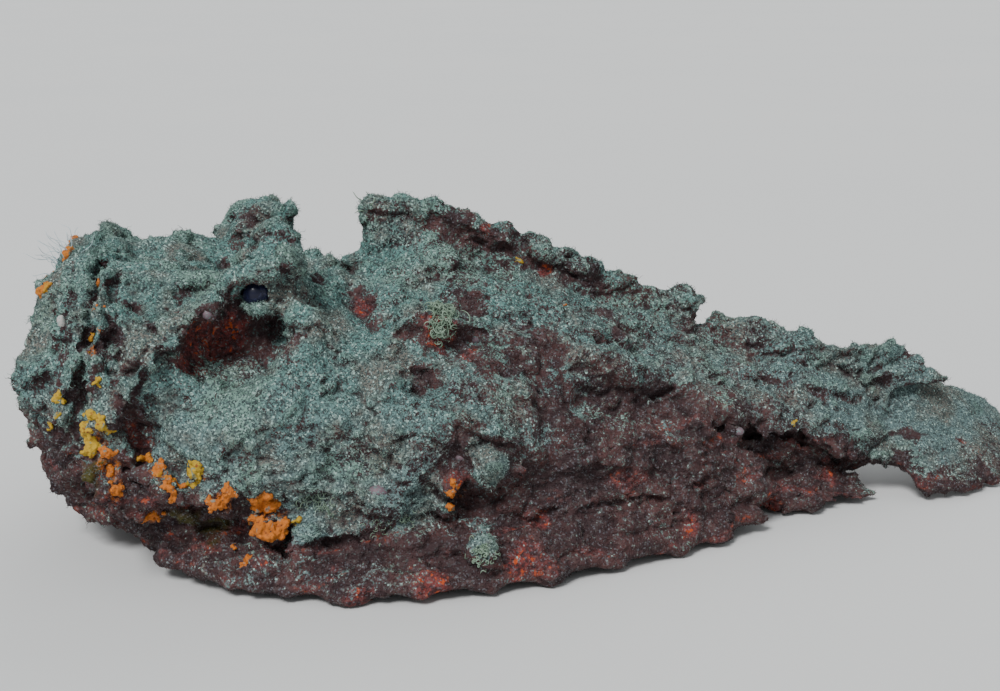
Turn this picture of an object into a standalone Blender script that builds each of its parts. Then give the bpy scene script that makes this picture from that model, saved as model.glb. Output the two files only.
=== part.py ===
"""Stonefish resting on its belly, life size.

The nose points to -X and the left flank to -Y. The floor is z = 0, and every size is in metres.
The head, jaw, trunk and tail stalk are modelled whole and parted with thin cuts.
Fins, gill covers and eyes are pieces of their own, cut to lie on the body with a hair of clearance.
"""

import math
import random
from collections import namedtuple

import bmesh
import bpy
import numpy as np
from mathutils import Matrix, Vector, noise
from mathutils.kdtree import KDTree

SIDES = ((-1, "left"), (1, "right"))
GAP = 0.0003
CUTTER_REACH = 0.5
VOXEL = 0.0019
SEED = 11

NOSE_X = -0.176
STALK_END_X = 0.136
SWAY_START_X = 0.02
SWAY_LENGTH = 0.14
SWAY = -0.014

# Each station of the body: x, half width, back, belly, widest level, upper and lower squareness
STATIONS = (
    (NOSE_X, 0.010, 0.066, 0.042, 0.054, 2.2, 2.2),
    (-0.172, 0.026, 0.083, 0.026, 0.054, 2.4, 2.3),
    (-0.164, 0.041, 0.095, 0.014, 0.050, 2.8, 2.4),
    (-0.150, 0.052, 0.098, 0.005, 0.046, 3.0, 2.6),
    (-0.128, 0.060, 0.096, 0.000, 0.043, 3.0, 2.8),
    (-0.104, 0.066, 0.090, 0.000, 0.041, 2.8, 2.8),
    (-0.080, 0.070, 0.087, 0.000, 0.038, 2.5, 2.7),
    (-0.055, 0.071, 0.091, 0.000, 0.036, 2.1, 2.7),
    (-0.025, 0.066, 0.092, 0.000, 0.034, 1.9, 2.7),
    (0.005, 0.057, 0.085, 0.000, 0.031, 1.8, 2.6),
    (0.035, 0.045, 0.073, 0.001, 0.028, 1.8, 2.4),
    (0.065, 0.033, 0.061, 0.005, 0.026, 1.9, 2.3),
    (0.095, 0.022, 0.051, 0.007, 0.026, 2.0, 2.2),
    (0.120, 0.013, 0.044, 0.006, 0.025, 2.0, 2.0),
    (STALK_END_X, 0.005, 0.039, 0.010, 0.024, 2.0, 2.0),
)
RINGS = 90
RING_POINTS = 64

MOUTH_TOP = Vector((-0.1515, 0.0, 0.100))
MOUTH_SLOPE = 0.12
LIP_RADIUS = 0.0044
LIP_SPACING = 0.0058

EYE_RADIUS = 0.0046
EYE = Vector((-0.1005, -0.0450, 0.0920))
EYE_GAZE = Vector((-0.25, -0.90, 0.30)).normalized()
LID_RADIUS = 0.0020
LID_FORWARD = 0.45

# Raised masses of the left half and the midline: centre and radii
MASSES = {
    "eye_turret": ((-0.0940, -0.0340, 0.0890), (0.0130, 0.0130, 0.0210)),
    "turret_top": ((-0.0910, -0.0320, 0.1030), (0.0090, 0.0090, 0.0080)),
    "turret_foot": ((-0.0990, -0.0300, 0.0800), (0.0190, 0.0160, 0.0140)),
    "snout_boss": ((-0.1350, -0.0220, 0.0930), (0.0130, 0.0110, 0.0080)),
    "snout_side": ((-0.1370, -0.0440, 0.0800), (0.0110, 0.0110, 0.0110)),
    "occiput": ((-0.0800, -0.0200, 0.0840), (0.0100, 0.0120, 0.0090)),
    "cheek": ((-0.0930, -0.0590, 0.0460), (0.0360, 0.0120, 0.0230)),
    "gill_cover": ((-0.0480, -0.0610, 0.0450), (0.0330, 0.0130, 0.0270)),
    "gill_bulb": ((-0.0290, -0.0660, 0.0400), (0.0110, 0.0100, 0.0130)),
    "gill_flap": ((-0.0330, -0.0700, 0.0150), (0.0110, 0.0060, 0.0080)),
    "jaw_corner": ((-0.1480, -0.0520, 0.0420), (0.0110, 0.0080, 0.0110)),
    "chin_lobe": ((-0.1710, -0.0290, 0.0650), (0.0070, 0.0100, 0.0120)),
    "chin_keel": ((-0.1730, 0.0000, 0.0480), (0.0060, 0.0120, 0.0160)),
    "shoulder": ((-0.0480, -0.0430, 0.0770), (0.0160, 0.0120, 0.0090)),
    "nape": ((-0.0420, 0.0000, 0.0900), (0.0220, 0.0200, 0.0090)),
}
# Ridges of the left half: radius at the start, radius at the end, and the points that they follow
RIDGES = {
    "brow": (
        0.0042,
        0.0040,
        ((-0.1120, -0.0400, 0.0950), (-0.1010, -0.0480, 0.1020), (-0.0850, -0.0430, 0.1010)),
    ),
    "snout_edge": (
        0.0040,
        0.0050,
        (
            (-0.1480, -0.0560, 0.0560),
            (-0.1390, -0.0580, 0.0730),
            (-0.1270, -0.0540, 0.0850),
            (-0.1140, -0.0440, 0.0900),
        ),
    ),
    "pit_back": (
        0.0055,
        0.0040,
        ((-0.0860, -0.0480, 0.0900), (-0.0850, -0.0570, 0.0770), (-0.0880, -0.0640, 0.0640)),
    ),
    "snout_crest": (
        0.0040,
        0.0050,
        ((-0.1500, -0.0200, 0.0940), (-0.1300, -0.0300, 0.0940), (-0.1100, -0.0300, 0.0930)),
    ),
    "gill_rim": (
        0.0050,
        0.0050,
        (
            (-0.0360, -0.0500, 0.0720),
            (-0.0200, -0.0570, 0.0600),
            (-0.0170, -0.0640, 0.0460),
            (-0.0230, -0.0690, 0.0290),
            (-0.0340, -0.0700, 0.0160),
        ),
    ),
    "ledge": (
        0.0060,
        0.0050,
        (
            (0.0020, -0.0420, 0.0680),
            (0.0300, -0.0400, 0.0560),
            (0.0620, -0.0340, 0.0430),
            (0.1000, -0.0290, 0.0310),
            (0.1300, -0.0220, 0.0240),
        ),
    ),
}
# Hollows of the left half and the midline: centre and radii
PITS = {
    "between_eyes": ((-0.0980, 0.0000, 0.1030), (0.0210, 0.0150, 0.0230)),
    "saddle": ((-0.0690, 0.0000, 0.1060), (0.0110, 0.0330, 0.0200)),
    "under_eye": ((-0.1080, -0.0680, 0.0775), (0.0185, 0.0310, 0.0125)),
    "behind_jaw": ((-0.1370, -0.0650, 0.0550), (0.0085, 0.0130, 0.0150)),
    "nape_pit": ((-0.0600, -0.0420, 0.0890), (0.0065, 0.0090, 0.0110)),
    "shoulder_pit": ((-0.0500, -0.0640, 0.0700), (0.0095, 0.0080, 0.0075)),
    "front_nostril": ((-0.1390, -0.0480, 0.0910), (0.0034, 0.0050, 0.0045)),
    "rear_nostril": ((-0.1355, -0.0560, 0.0850), (0.0036, 0.0060, 0.0036)),
    "gill_hole": ((-0.0400, -0.0760, 0.0300), (0.0060, 0.0080, 0.0090)),
}
UNDERCUT_RADIUS = 0.0075
UNDERCUT = (
    (-0.1260, -0.0620, 0.0060),
    (-0.0980, -0.0700, 0.0080),
    (-0.0600, -0.0740, 0.0070),
    (-0.0250, -0.0700, 0.0060),
)

# Fringe of fleshy lobes along the lower edge of the cheek
FRINGE = (
    (-0.1440, -0.0560, 0.0430),
    (-0.1320, -0.0600, 0.0330),
    (-0.1140, -0.0640, 0.0270),
    (-0.0910, -0.0680, 0.0210),
    (-0.0700, -0.0700, 0.0190),
)
FRINGE_LOBES = 7
FRINGE_RADIUS = 0.0054

WART_COUNT = 120
WART_RADIUS = (0.0055, 0.0100)
WART_HEIGHT = (0.0012, 0.0034)
WART_SPACING = 0.0105
ROUGHNESS = 0.0018

# Cuts that part the body: x and z of the points that each passes through, from low to high
JAW_CUT = ((-0.1440, -0.1), (-0.1440, 0.018), (-0.1592, 0.036), (-0.1510, 0.1040), (-0.1510, 0.3))
HEAD_CUT = ((-0.0110, -0.1), (-0.0110, 0.060), (-0.0320, 0.0760), (-0.0630, 0.0880), (-0.0630, 0.3))
TAIL_CUT = ((0.0740, -0.1), (0.0740, 0.3))

# Fins. Root and margin are the points that they follow from the first ray to the last.
# Bulge is out and up, notch is the share of the reach lost between rays, thickness is at the root and the margin.
Fin = namedtuple("Fin", "root margin bulge notch rays thickness thinning columns rows")
SPINY_DORSAL = Fin(
    root=(-0.0630, 0.0550),
    margin=(
        (-0.0600, 0, 0.1130),
        (-0.0500, 0, 0.1150),
        (-0.0300, 0, 0.1110),
        (-0.0080, 0, 0.1050),
        (0.0100, 0, 0.0955),
        (0.0300, 0, 0.0860),
        (0.0500, 0, 0.0790),
        (0.0650, 0, 0.0730),
    ),
    bulge=(0.0, 0.0),
    notch=0.08,
    rays=13,
    thickness=(0.0200, 0.0040),
    thinning=0.5,
    columns=4,
    rows=3,
)
SOFT_DORSAL = Fin(
    root=(0.0575, 0.1120),
    margin=(
        (0.0690, 0, 0.0710),
        (0.0900, 0, 0.0640),
        (0.1180, 0, 0.0560),
        (0.1450, 0, 0.0500),
        (0.1610, 0, 0.0390),
    ),
    bulge=(0.0, 0.0),
    notch=0.16,
    rays=6,
    thickness=(0.0090, 0.0028),
    thinning=0.3,
    columns=4,
    rows=3,
)
PECTORAL = Fin(
    root=(
        (-0.1120, -0.0450, 0.0080),
        (-0.0930, -0.0540, 0.0100),
        (-0.0700, -0.0620, 0.0150),
        (-0.0450, -0.0640, 0.0330),
    ),
    margin=(
        (-0.1360, -0.0500, 0.0060),
        (-0.1200, -0.0650, 0.0030),
        (-0.0950, -0.0790, 0.0016),
        (-0.0620, -0.0880, 0.0016),
        (-0.0280, -0.0870, 0.0016),
        (0.0080, -0.0790, 0.0016),
        (0.0440, -0.0670, 0.0016),
        (0.0720, -0.0540, 0.0030),
        (0.0800, -0.0430, 0.0160),
        (0.0660, -0.0410, 0.0340),
    ),
    bulge=(0.0110, 0.0070),
    notch=0.09,
    rays=15,
    thickness=(0.0060, 0.0028),
    thinning=0.0,
    columns=3,
    rows=4,
)
PELVIC = Fin(
    root=((-0.0700, -0.0300, 0.0022), (-0.0700, -0.0440, 0.0022)),
    margin=((-0.0260, -0.0260, 0.0022), (-0.0200, -0.0380, 0.0022), (-0.0260, -0.0500, 0.0022)),
    bulge=(0.0, 0.0),
    notch=0.06,
    rays=6,
    thickness=(0.0036, 0.0030),
    thinning=0.0,
    columns=3,
    rows=4,
)
ANAL = Fin(
    root=((0.0440, -0.0060, 0.0080), (0.0700, -0.0090, 0.0100), (0.1000, -0.0130, 0.0110)),
    margin=(
        (0.0620, -0.0400, 0.0016),
        (0.0850, -0.0440, 0.0016),
        (0.1080, -0.0440, 0.0016),
        (0.1260, -0.0360, 0.0016),
    ),
    bulge=(0.0, 0.0030),
    notch=0.10,
    rays=7,
    thickness=(0.0050, 0.0022),
    thinning=0.0,
    columns=3,
    rows=3,
)
CAUDAL = Fin(
    root=((0.1200, -0.0170, 0.0090), (0.1200, -0.0150, 0.0210), (0.1200, -0.0120, 0.0330)),
    margin=(
        (0.1420, -0.0400, 0.0020),
        (0.1600, -0.0380, 0.0020),
        (0.1780, -0.0280, 0.0024),
        (0.1930, -0.0130, 0.0050),
        (0.1990, 0.0020, 0.0100),
        (0.1930, 0.0120, 0.0190),
    ),
    bulge=(0.0, 0.0060),
    notch=0.07,
    rays=12,
    thickness=(0.0120, 0.0026),
    thinning=0.0,
    columns=3,
    rows=4,
)
SUNK = 0.011
FLOOR_CLEARANCE = 0.0002
RAY_RIDGE = 0.0022
RIDGE_START = 0.45
SLOPE_STEP = 0.02

BODY_TRIANGLES = 7400
KEPT_AFTER_CUT = 0.85
SKIN_COLOUR = (0.16, 0.17, 0.14, 1.0)
FIN_COLOUR = (0.13, 0.08, 0.06, 1.0)
EYE_COLOUR = (0.03, 0.04, 0.08, 1.0)
SKIN_ROUGHNESS = 0.85
EYE_ROUGHNESS = 0.15


def eased(t):
    """0 to 1 with level ends."""
    t = min(max(t, 0.0), 1.0)
    return t * t * (3 - 2 * t)


def sway(x):
    """How far the midline has bent towards the left flank at x."""
    return SWAY * eased((x - SWAY_START_X) / SWAY_LENGTH)


def along(points, t):
    """The point at share t of a smooth curve through the given points."""
    last = len(points) - 1
    index = min(int(t * last), last - 1)
    local = t * last - index
    a, b = Vector(points[index]), Vector(points[index + 1])
    before = Vector(points[index - 1]) if index else 2 * a - b
    after = Vector(points[index + 2]) if index + 2 <= last else 2 * b - a
    return 0.5 * (
        2 * a
        + (b - before) * local
        + (2 * before - 5 * a + 4 * b - after) * local**2
        + (3 * a - before - 3 * b + after) * local**3
    )


def section(x):
    """Half width, back, belly, widest level and squareness of the body at x."""
    table = np.array(STATIONS)
    slopes = np.gradient(table, table[:, 0], axis=0)
    i = int(np.clip(np.searchsorted(table[:, 0], x) - 1, 0, len(table) - 2))
    span = table[i + 1, 0] - table[i, 0]
    t = (x - table[i, 0]) / span
    mix = (2 * t**3 - 3 * t**2 + 1) * table[i] + (3 * t**2 - 2 * t**3) * table[i + 1]
    mix = mix + span * ((t**3 - 2 * t**2 + t) * slopes[i] + (t**3 - t**2) * slopes[i + 1])
    return mix[1:]


def on_body(x, angle, out=0.0):
    """A point of the plain body at x. The angle runs from the right flank (0) over the back to the left flank."""
    half_width, back, belly, level, upper, lower = section(x)
    c, s = math.cos(angle), math.sin(angle)
    power = 2 / (upper if s > 0 else lower)
    height = (back - level) if s > 0 else (level - belly)
    y = math.copysign(abs(c) ** power, c)
    z = math.copysign(abs(s) ** power, s)
    return Vector((x, sway(x) + y * (half_width + out), level + z * (height + out)))


def clear_scene():
    for obj in list(bpy.data.objects):
        bpy.data.objects.remove(obj)


def add_object(name, mesh, collection):
    obj = bpy.data.objects.new(name, mesh)
    collection.objects.link(obj)
    return obj


def put_in(obj, name, collection):
    """Names a new object and moves it to its collection."""
    for holder in list(obj.users_collection):
        holder.objects.unlink(obj)
    collection.objects.link(obj)
    obj.name = name
    return obj


def add_collection(name, hidden=False):
    collection = bpy.data.collections.new(name)
    bpy.context.scene.collection.children.link(collection)
    collection.hide_render = hidden
    return collection


def mesh_from(name, fill):
    """A mesh made by fill(bm)."""
    bm = bmesh.new()
    fill(bm)
    bmesh.ops.recalc_face_normals(bm, faces=bm.faces)
    mesh = bpy.data.meshes.new(name)
    bm.to_mesh(mesh)
    bm.free()
    return mesh


def settled(obj):
    """The object with its modifiers applied."""
    bpy.context.view_layer.update()
    graph = bpy.context.evaluated_depsgraph_get()
    mesh = bpy.data.meshes.new_from_object(obj.evaluated_get(graph))
    obj.modifiers.clear()
    obj.data = mesh
    return obj


def welded_tube(name, points, start_radius, end_radius, collection, count=10):
    """A round tapered ridge along a smooth curve through the points, as a closed mesh."""
    curve = bpy.data.curves.new(name, "CURVE")
    curve.dimensions = "3D"
    curve.bevel_depth = 1.0
    curve.bevel_resolution = 2
    curve.use_fill_caps = True
    spline = curve.splines.new("POLY")
    spline.points.add(count - 1)
    for i, point in enumerate(spline.points):
        t = i / (count - 1)
        point.co = (*along(points, t), 1.0)
        point.radius = start_radius + (end_radius - start_radius) * t
    guide = add_object(name, curve, collection)
    bpy.context.view_layer.update()
    graph = bpy.context.evaluated_depsgraph_get()
    mesh = bpy.data.meshes.new_from_object(guide.evaluated_get(graph))
    bpy.data.objects.remove(guide)
    bm = bmesh.new()
    bm.from_mesh(mesh)
    bmesh.ops.remove_doubles(bm, verts=bm.verts, dist=1e-5)
    bmesh.ops.recalc_face_normals(bm, faces=bm.faces)
    bm.to_mesh(mesh)
    bm.free()
    return add_object(name, mesh, collection)


def ellipsoid(name, centre, radii, collection, segments=20, rings=14):
    place = Matrix.LocRotScale(Vector(centre), None, Vector(radii))

    def fill(bm):
        bmesh.ops.create_uvsphere(bm, u_segments=segments, v_segments=rings, radius=1.0, matrix=place)

    return add_object(name, mesh_from(name, fill), collection)


def mirrored(points):
    return tuple((x, -y, z) for x, y, z in points)


def both_sides(name, points):
    """The name and points of the left side, then of the right, or of the midline alone."""
    if all(abs(y) < 1e-9 for _, y, _ in points):
        return ((name, points),)
    return ((name + "_left", points), (name + "_right", mirrored(points)))


def joined(name, objects, collection):
    """One object holding the meshes of all the objects, which are removed."""
    bm = bmesh.new()
    for obj in objects:
        bm.from_mesh(obj.data)
        bpy.data.objects.remove(obj)
    mesh = bpy.data.meshes.new(name)
    bm.to_mesh(mesh)
    bm.free()
    return add_object(name, mesh, collection)


def cut(obj, cutter, solver="EXACT", operation="DIFFERENCE"):
    """The object cut by another mesh object, applied."""
    modifier = obj.modifiers.new("cut", "BOOLEAN")
    modifier.operation = operation
    modifier.solver = solver
    modifier.object = cutter
    return settled(obj)


def keep_largest(obj):
    """Drops every loose scrap and sealed hollow, and keeps the largest closed surface."""
    bm = bmesh.new()
    bm.from_mesh(obj.data)
    unseen = set(bm.verts)
    groups = []
    while unseen:
        stack = [unseen.pop()]
        group = set(stack)
        while stack:
            for edge in stack.pop().link_edges:
                for vert in edge.verts:
                    if vert in unseen:
                        unseen.discard(vert)
                        group.add(vert)
                        stack.append(vert)
        groups.append(group)
    largest = max(groups, key=len)
    bmesh.ops.delete(bm, geom=[v for v in bm.verts if v not in largest], context="VERTS")
    bmesh.ops.triangulate(bm, faces=bm.faces)
    bmesh.ops.recalc_face_normals(bm, faces=bm.faces)
    bm.to_mesh(obj.data)
    bm.free()
    return obj


def plain_body(collection):
    """The body as a loft of rounded-square rings from the chin to the end of the tail stalk."""

    def fill(bm):
        rings = []
        for i in range(RINGS + 1):
            share = 0.5 - 0.5 * math.cos(math.pi * (i / RINGS) * 0.92)
            x = NOSE_X + (STALK_END_X - NOSE_X) * share / (0.5 - 0.5 * math.cos(math.pi * 0.92))
            angles = [2 * math.pi * j / RING_POINTS for j in range(RING_POINTS)]
            rings.append([bm.verts.new(on_body(x, angle)) for angle in angles])
        for near, far in zip(rings, rings[1:]):
            for j in range(RING_POINTS):
                k = (j + 1) % RING_POINTS
                bm.faces.new((near[j], near[k], far[k], far[j]))
        bm.faces.new(rings[0])
        bm.faces.new(rings[-1])

    return add_object("plain_body", mesh_from("plain_body", fill), collection)


def mouth_x(z):
    """Where the closed mouth's plane stands at height z."""
    return MOUTH_TOP.x + MOUTH_SLOPE * (z - MOUTH_TOP.z)


def lip_path(side_of_mouth):
    """The roll of a lip from the left corner over the top to the right corner."""
    heights = (0.036, 0.050, 0.066, 0.081, 0.0925, 0.0985)
    widths = (-0.0475, -0.0495, -0.0490, -0.0450, -0.0330, -0.0160)
    left = [(mouth_x(z) + side_of_mouth * LIP_SPACING, y, z) for y, z in zip(widths, heights)]
    inward = 0.004 * side_of_mouth
    left = [(x, y - inward, z) for x, y, z in left]
    return left + [(x, -y, z) for x, y, z in reversed(left)]


def fringe_lobes(collection, rng):
    """Fleshy lobes that hang along the lower edge of each cheek."""
    lobes = []
    for side, points in both_sides("fringe", FRINGE):
        for i in range(FRINGE_LOBES):
            centre = along(points, (i + 0.5) / FRINGE_LOBES)
            size = FRINGE_RADIUS * rng.uniform(0.75, 1.15)
            centre.z -= size * rng.uniform(0.2, 0.7)
            lobes.append(
                ellipsoid(f"{side}_{i}", centre, (size * 0.9, size * 0.75, size * 1.35), collection, 12, 8)
            )
    return lobes


def body_masses(collection, rng):
    """Everything that is fused with the plain body before its skin is drawn over."""
    pieces = [plain_body(collection)]
    for name, (centre, radii) in MASSES.items():
        for side, points in both_sides(name, (centre,)):
            pieces.append(ellipsoid(side, points[0], radii, collection))
    for name, (start, end, points) in RIDGES.items():
        for side, route in both_sides(name, points):
            pieces.append(welded_tube(side, route, start, end, collection))
    pieces.append(welded_tube("upper_lip", lip_path(1), LIP_RADIUS, LIP_RADIUS, collection, 28))
    pieces.append(welded_tube("lower_lip", lip_path(-1), LIP_RADIUS, LIP_RADIUS, collection, 28))
    pieces += fringe_lobes(collection, rng)
    return pieces


def body_pits(collection):
    """The hollows of the head, as closed cutters."""
    cutters = []
    for name, (centre, radii) in PITS.items():
        for side, points in both_sides(name, (centre,)):
            cutters.append(ellipsoid(side, points[0], radii, collection))
    for side, route in both_sides("undercut", UNDERCUT):
        cutters.append(welded_tube(side, route, UNDERCUT_RADIUS, UNDERCUT_RADIUS, collection, 14))
    return cutters


def skin_over(obj, voxel, smoothing):
    """One closed skin over all that the object's mesh holds."""
    remesh = obj.modifiers.new("skin", "REMESH")
    remesh.mode = "VOXEL"
    remesh.voxel_size = voxel
    smooth = obj.modifiers.new("smooth", "SMOOTH")
    smooth.factor = 0.5
    smooth.iterations = smoothing
    return settled(obj)


def eye_at(side):
    """Centre and gaze of an eye. Side is -1 on the left and 1 on the right."""
    return Vector((EYE.x, -side * EYE.y, EYE.z)), Vector((EYE_GAZE.x, -side * EYE_GAZE.y, EYE_GAZE.z))


def lids(collection):
    """A fleshy ring round each eye."""
    rings = []
    for side in (-1, 1):
        centre, gaze = eye_at(side)
        turn = gaze.to_track_quat("Z", "Y").to_matrix().to_4x4()
        place = Matrix.Translation(centre + gaze * EYE_RADIUS * LID_FORWARD) @ turn
        bpy.ops.mesh.primitive_torus_add(
            major_radius=EYE_RADIUS, minor_radius=LID_RADIUS, major_segments=24, minor_segments=10
        )
        ring = put_in(bpy.context.active_object, f"lid_{side}", collection)
        ring.data.transform(place)
        rings.append(ring)
    return rings


def wart_field(points, normals, rng):
    """How far each point is raised by the warts and the rough of the skin."""
    lift = np.zeros(len(points))
    tree = KDTree(len(points))
    for i, point in enumerate(points):
        tree.insert(point, i)
    tree.balance()
    taken = []
    order = list(range(len(points)))
    rng.shuffle(order)
    for index in order:
        if len(taken) == WART_COUNT:
            break
        spot = Vector(points[index])
        below = normals[index][2] < -0.35 or spot.z < 0.016
        near_mouth = abs(spot.x - mouth_x(spot.z)) < 0.013
        near_eye = min((spot - eye_at(side)[0]).length for side in (-1, 1)) < 0.012
        if below or near_mouth or near_eye or any((spot - t).length < WART_SPACING for t in taken):
            continue
        taken.append(spot)
        radius = rng.uniform(*WART_RADIUS) * (0.75 if spot.x > 0.05 else 1.0)
        height = rng.uniform(*WART_HEIGHT) * (0.7 if spot.x > 0.05 else 1.0)
        for _, i, distance in tree.find_range(spot, radius):
            lift[i] = max(lift[i], height * (0.5 + 0.5 * math.cos(math.pi * distance / radius)))
    return lift


def roughen(obj, rng):
    """Warts and folds over the skin, left off the belly's flat."""
    mesh = obj.data
    count = len(mesh.vertices)
    points = np.empty(count * 3)
    mesh.vertices.foreach_get("co", points)
    points = points.reshape(-1, 3)
    normals = np.array([n.vector for n in mesh.vertex_normals])
    lift = wart_field(points, normals, rng)
    folds = np.array([noise.fractal(Vector(p) * 70, 1.0, 2.0, 3) for p in points])
    fade = np.clip((points[:, 2] - 0.004) / 0.012, 0, 1)
    points += normals * ((lift + ROUGHNESS * folds) * fade)[:, None]
    mesh.vertices.foreach_set("co", points.ravel())
    mesh.update()
    smooth = obj.modifiers.new("smooth", "SMOOTH")
    smooth.factor = 0.5
    smooth.iterations = 2
    return settled(obj)


def flatten_belly(obj):
    """One level flat where the belly rests on the floor."""
    bm = bmesh.new()
    bm.from_mesh(obj.data)
    everything = bm.verts[:] + bm.edges[:] + bm.faces[:]
    bmesh.ops.bisect_plane(bm, geom=everything, plane_co=(0, 0, 0.0012), plane_no=(0, 0, 1), clear_inner=True)
    bmesh.ops.holes_fill(bm, edges=[e for e in bm.edges if e.is_boundary], sides=0)
    for vert in bm.verts:
        vert.co.z -= 0.0012
    bm.to_mesh(obj.data)
    bm.free()
    return obj


def thinned(obj, triangles):
    """The object with at most this many triangles."""
    bm = bmesh.new()
    bm.from_mesh(obj.data)
    bmesh.ops.triangulate(bm, faces=bm.faces)
    bm.to_mesh(obj.data)
    count = len(bm.faces)
    bm.free()
    decimate = obj.modifiers.new("thin", "DECIMATE")
    decimate.ratio = min(1.0, triangles / count)
    decimate.use_collapse_triangulate = True
    return settled(obj)


def whole_body(collection):
    """Head, jaw, trunk and tail stalk as one closed skin."""
    rng = random.Random(SEED)
    body = joined("whole_body", body_masses(collection, rng), collection)
    skin_over(body, VOXEL, 2)
    pits = joined("pits", body_pits(collection), collection)
    skin_over(pits, VOXEL, 1)
    cut(body, pits)
    bpy.data.objects.remove(pits)
    body = joined("whole_body", [body, *lids(collection)], collection)
    skin_over(body, VOXEL, 3)
    roughen(body, rng)
    flatten_belly(body)
    return keep_largest(thinned(body, BODY_TRIANGLES))


def swollen(obj, amount, collection):
    """A copy of a mesh object pushed outwards by an amount, to cut its neighbours clear of it."""
    copy = add_object(obj.name + "_swollen", obj.data.copy(), collection)
    displace = copy.modifiers.new("swell", "DISPLACE")
    displace.strength = amount
    displace.mid_level = 0.0
    return settled(copy)


def beyond(name, cut_line, shift, direction, collection):
    """Everything past a line of x and z points, low to high, as a closed cutter. Direction is along X."""
    line = [(x + shift, z) for x, z in cut_line]
    outline = line + [(direction * CUTTER_REACH, line[-1][1]), (direction * CUTTER_REACH, line[0][1])]

    def fill(bm):
        verts = [bm.verts.new((x, -CUTTER_REACH, z)) for x, z in outline]
        side = bmesh.ops.extrude_face_region(bm, geom=[bm.faces.new(verts)])
        moved = [item for item in side["geom"] if isinstance(item, bmesh.types.BMVert)]
        bmesh.ops.translate(bm, vec=(0, 2 * CUTTER_REACH, 0), verts=moved)
        bmesh.ops.triangulate(bm, faces=bm.faces)

    return add_object(name, mesh_from(name, fill), collection)


def part_body(body, parts, cutters):
    """The whole body parted with thin cuts into jaw, head, trunk and tail stalk."""
    names = ("lower_jaw", "head", "trunk", "tail_stalk")
    cuts = (None, JAW_CUT, HEAD_CUT, TAIL_CUT, None)
    for name, front_cut, rear_cut in zip(names, cuts, cuts[1:]):
        piece = add_object(name, body.data.copy(), parts)
        if front_cut:
            cut(piece, beyond(name + "_front", front_cut, GAP / 2, -1, cutters))
        if rear_cut:
            cut(piece, beyond(name + "_rear", rear_cut, -GAP / 2, 1, cutters))
        keep_largest(piece)


def on_ray(fin, s):
    """1 on a ray and 0 half way between two rays."""
    return 0.5 + 0.5 * math.cos(2 * math.pi * s * (fin.rays - 1))


def fin_thickness(fin, s, t):
    """Thickness at share s of the rays and t of the reach, with a ridge along each ray."""
    root, margin = fin.thickness
    root *= 1 - fin.thinning * s
    ridge = RAY_RIDGE * on_ray(fin, s) * eased(t / RIDGE_START) * (1 - 0.4 * t)
    return root + (margin - root) * t**0.7 + ridge


def fin_sheet(name, fin, middle, collection):
    """A fin as one solid sheet between two like faces.

    middle(s, t) is its smooth middle, from root (t = 0) to margin (t = 1) and from the first ray (s = 0)
    to the last. Between rays the margin draws in.
    """
    columns = (fin.rays - 1) * fin.columns
    bpy.ops.mesh.primitive_grid_add(x_subdivisions=columns, y_subdivisions=fin.rows, size=1.0)
    sheet = put_in(bpy.context.active_object, name, collection)
    bm = bmesh.new()
    bm.from_mesh(sheet.data)
    bmesh.ops.triangulate(bm, faces=bm.faces)
    bm.to_mesh(sheet.data)
    bm.free()
    solidify = sheet.modifiers.new("solid", "SOLIDIFY")
    solidify.thickness = 2.0
    solidify.offset = 0.0
    settled(sheet)
    for vert in sheet.data.vertices:
        s, t, face = vert.co.x + 0.5, vert.co.y + 0.5, vert.co.z
        across = middle(min(s + SLOPE_STEP, 1), t) - middle(max(s - SLOPE_STEP, 0), t)
        outward = middle(s, min(t + SLOPE_STEP, 1)) - middle(s, max(t - SLOPE_STEP, 0))
        reach = 1 - fin.notch * (1 - on_ray(fin, s))
        lift = across.cross(outward).normalized() * face * fin_thickness(fin, s, t) / 2
        vert.co = middle(s, t * reach) + lift
        vert.co.z = max(vert.co.z, FLOOR_CLEARANCE)
    return keep_largest(sheet)


def standing_fin(name, fin, collection):
    """A fin that stands on the midline of the back."""

    def middle(s, t):
        x = fin.root[0] + (fin.root[1] - fin.root[0]) * s
        point = Vector((x, 0, section(x)[1] - SUNK)).lerp(along(fin.margin, s), t)
        point.y = sway(point.x)
        return point

    return fin_sheet(name, fin, middle, collection)


def lying_fin(name, fin, side, collection):
    """A fin that fans out from a fleshy root and lies on the floor. Side is -1 on the left and 1 on the right."""

    def middle(s, t):
        point = along(fin.root, s).lerp(along(fin.margin, s), t)
        point.y -= fin.bulge[0] * s * math.sin(math.pi * t)
        point.z += fin.bulge[1] * math.sin(math.pi * t)
        point.y *= -side
        return point

    return fin_sheet(name, fin, middle, collection)


def clear_of(obj, neighbours, cutters):
    """The object cut so that it keeps a hair of clearance to each neighbour."""
    for neighbour in neighbours:
        cut(obj, swollen(neighbour, GAP, cutters), solver="MANIFOLD")
    return keep_largest(obj)


def eyeball(name, side, collection):
    centre, gaze = eye_at(side)
    turn = gaze.to_track_quat("Z", "Y").to_matrix().to_4x4()
    place = Matrix.Translation(centre) @ turn

    def fill(bm):
        bmesh.ops.create_uvsphere(bm, u_segments=14, v_segments=8, radius=EYE_RADIUS, matrix=place)

    return add_object(name, mesh_from(name, fill), collection)


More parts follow.
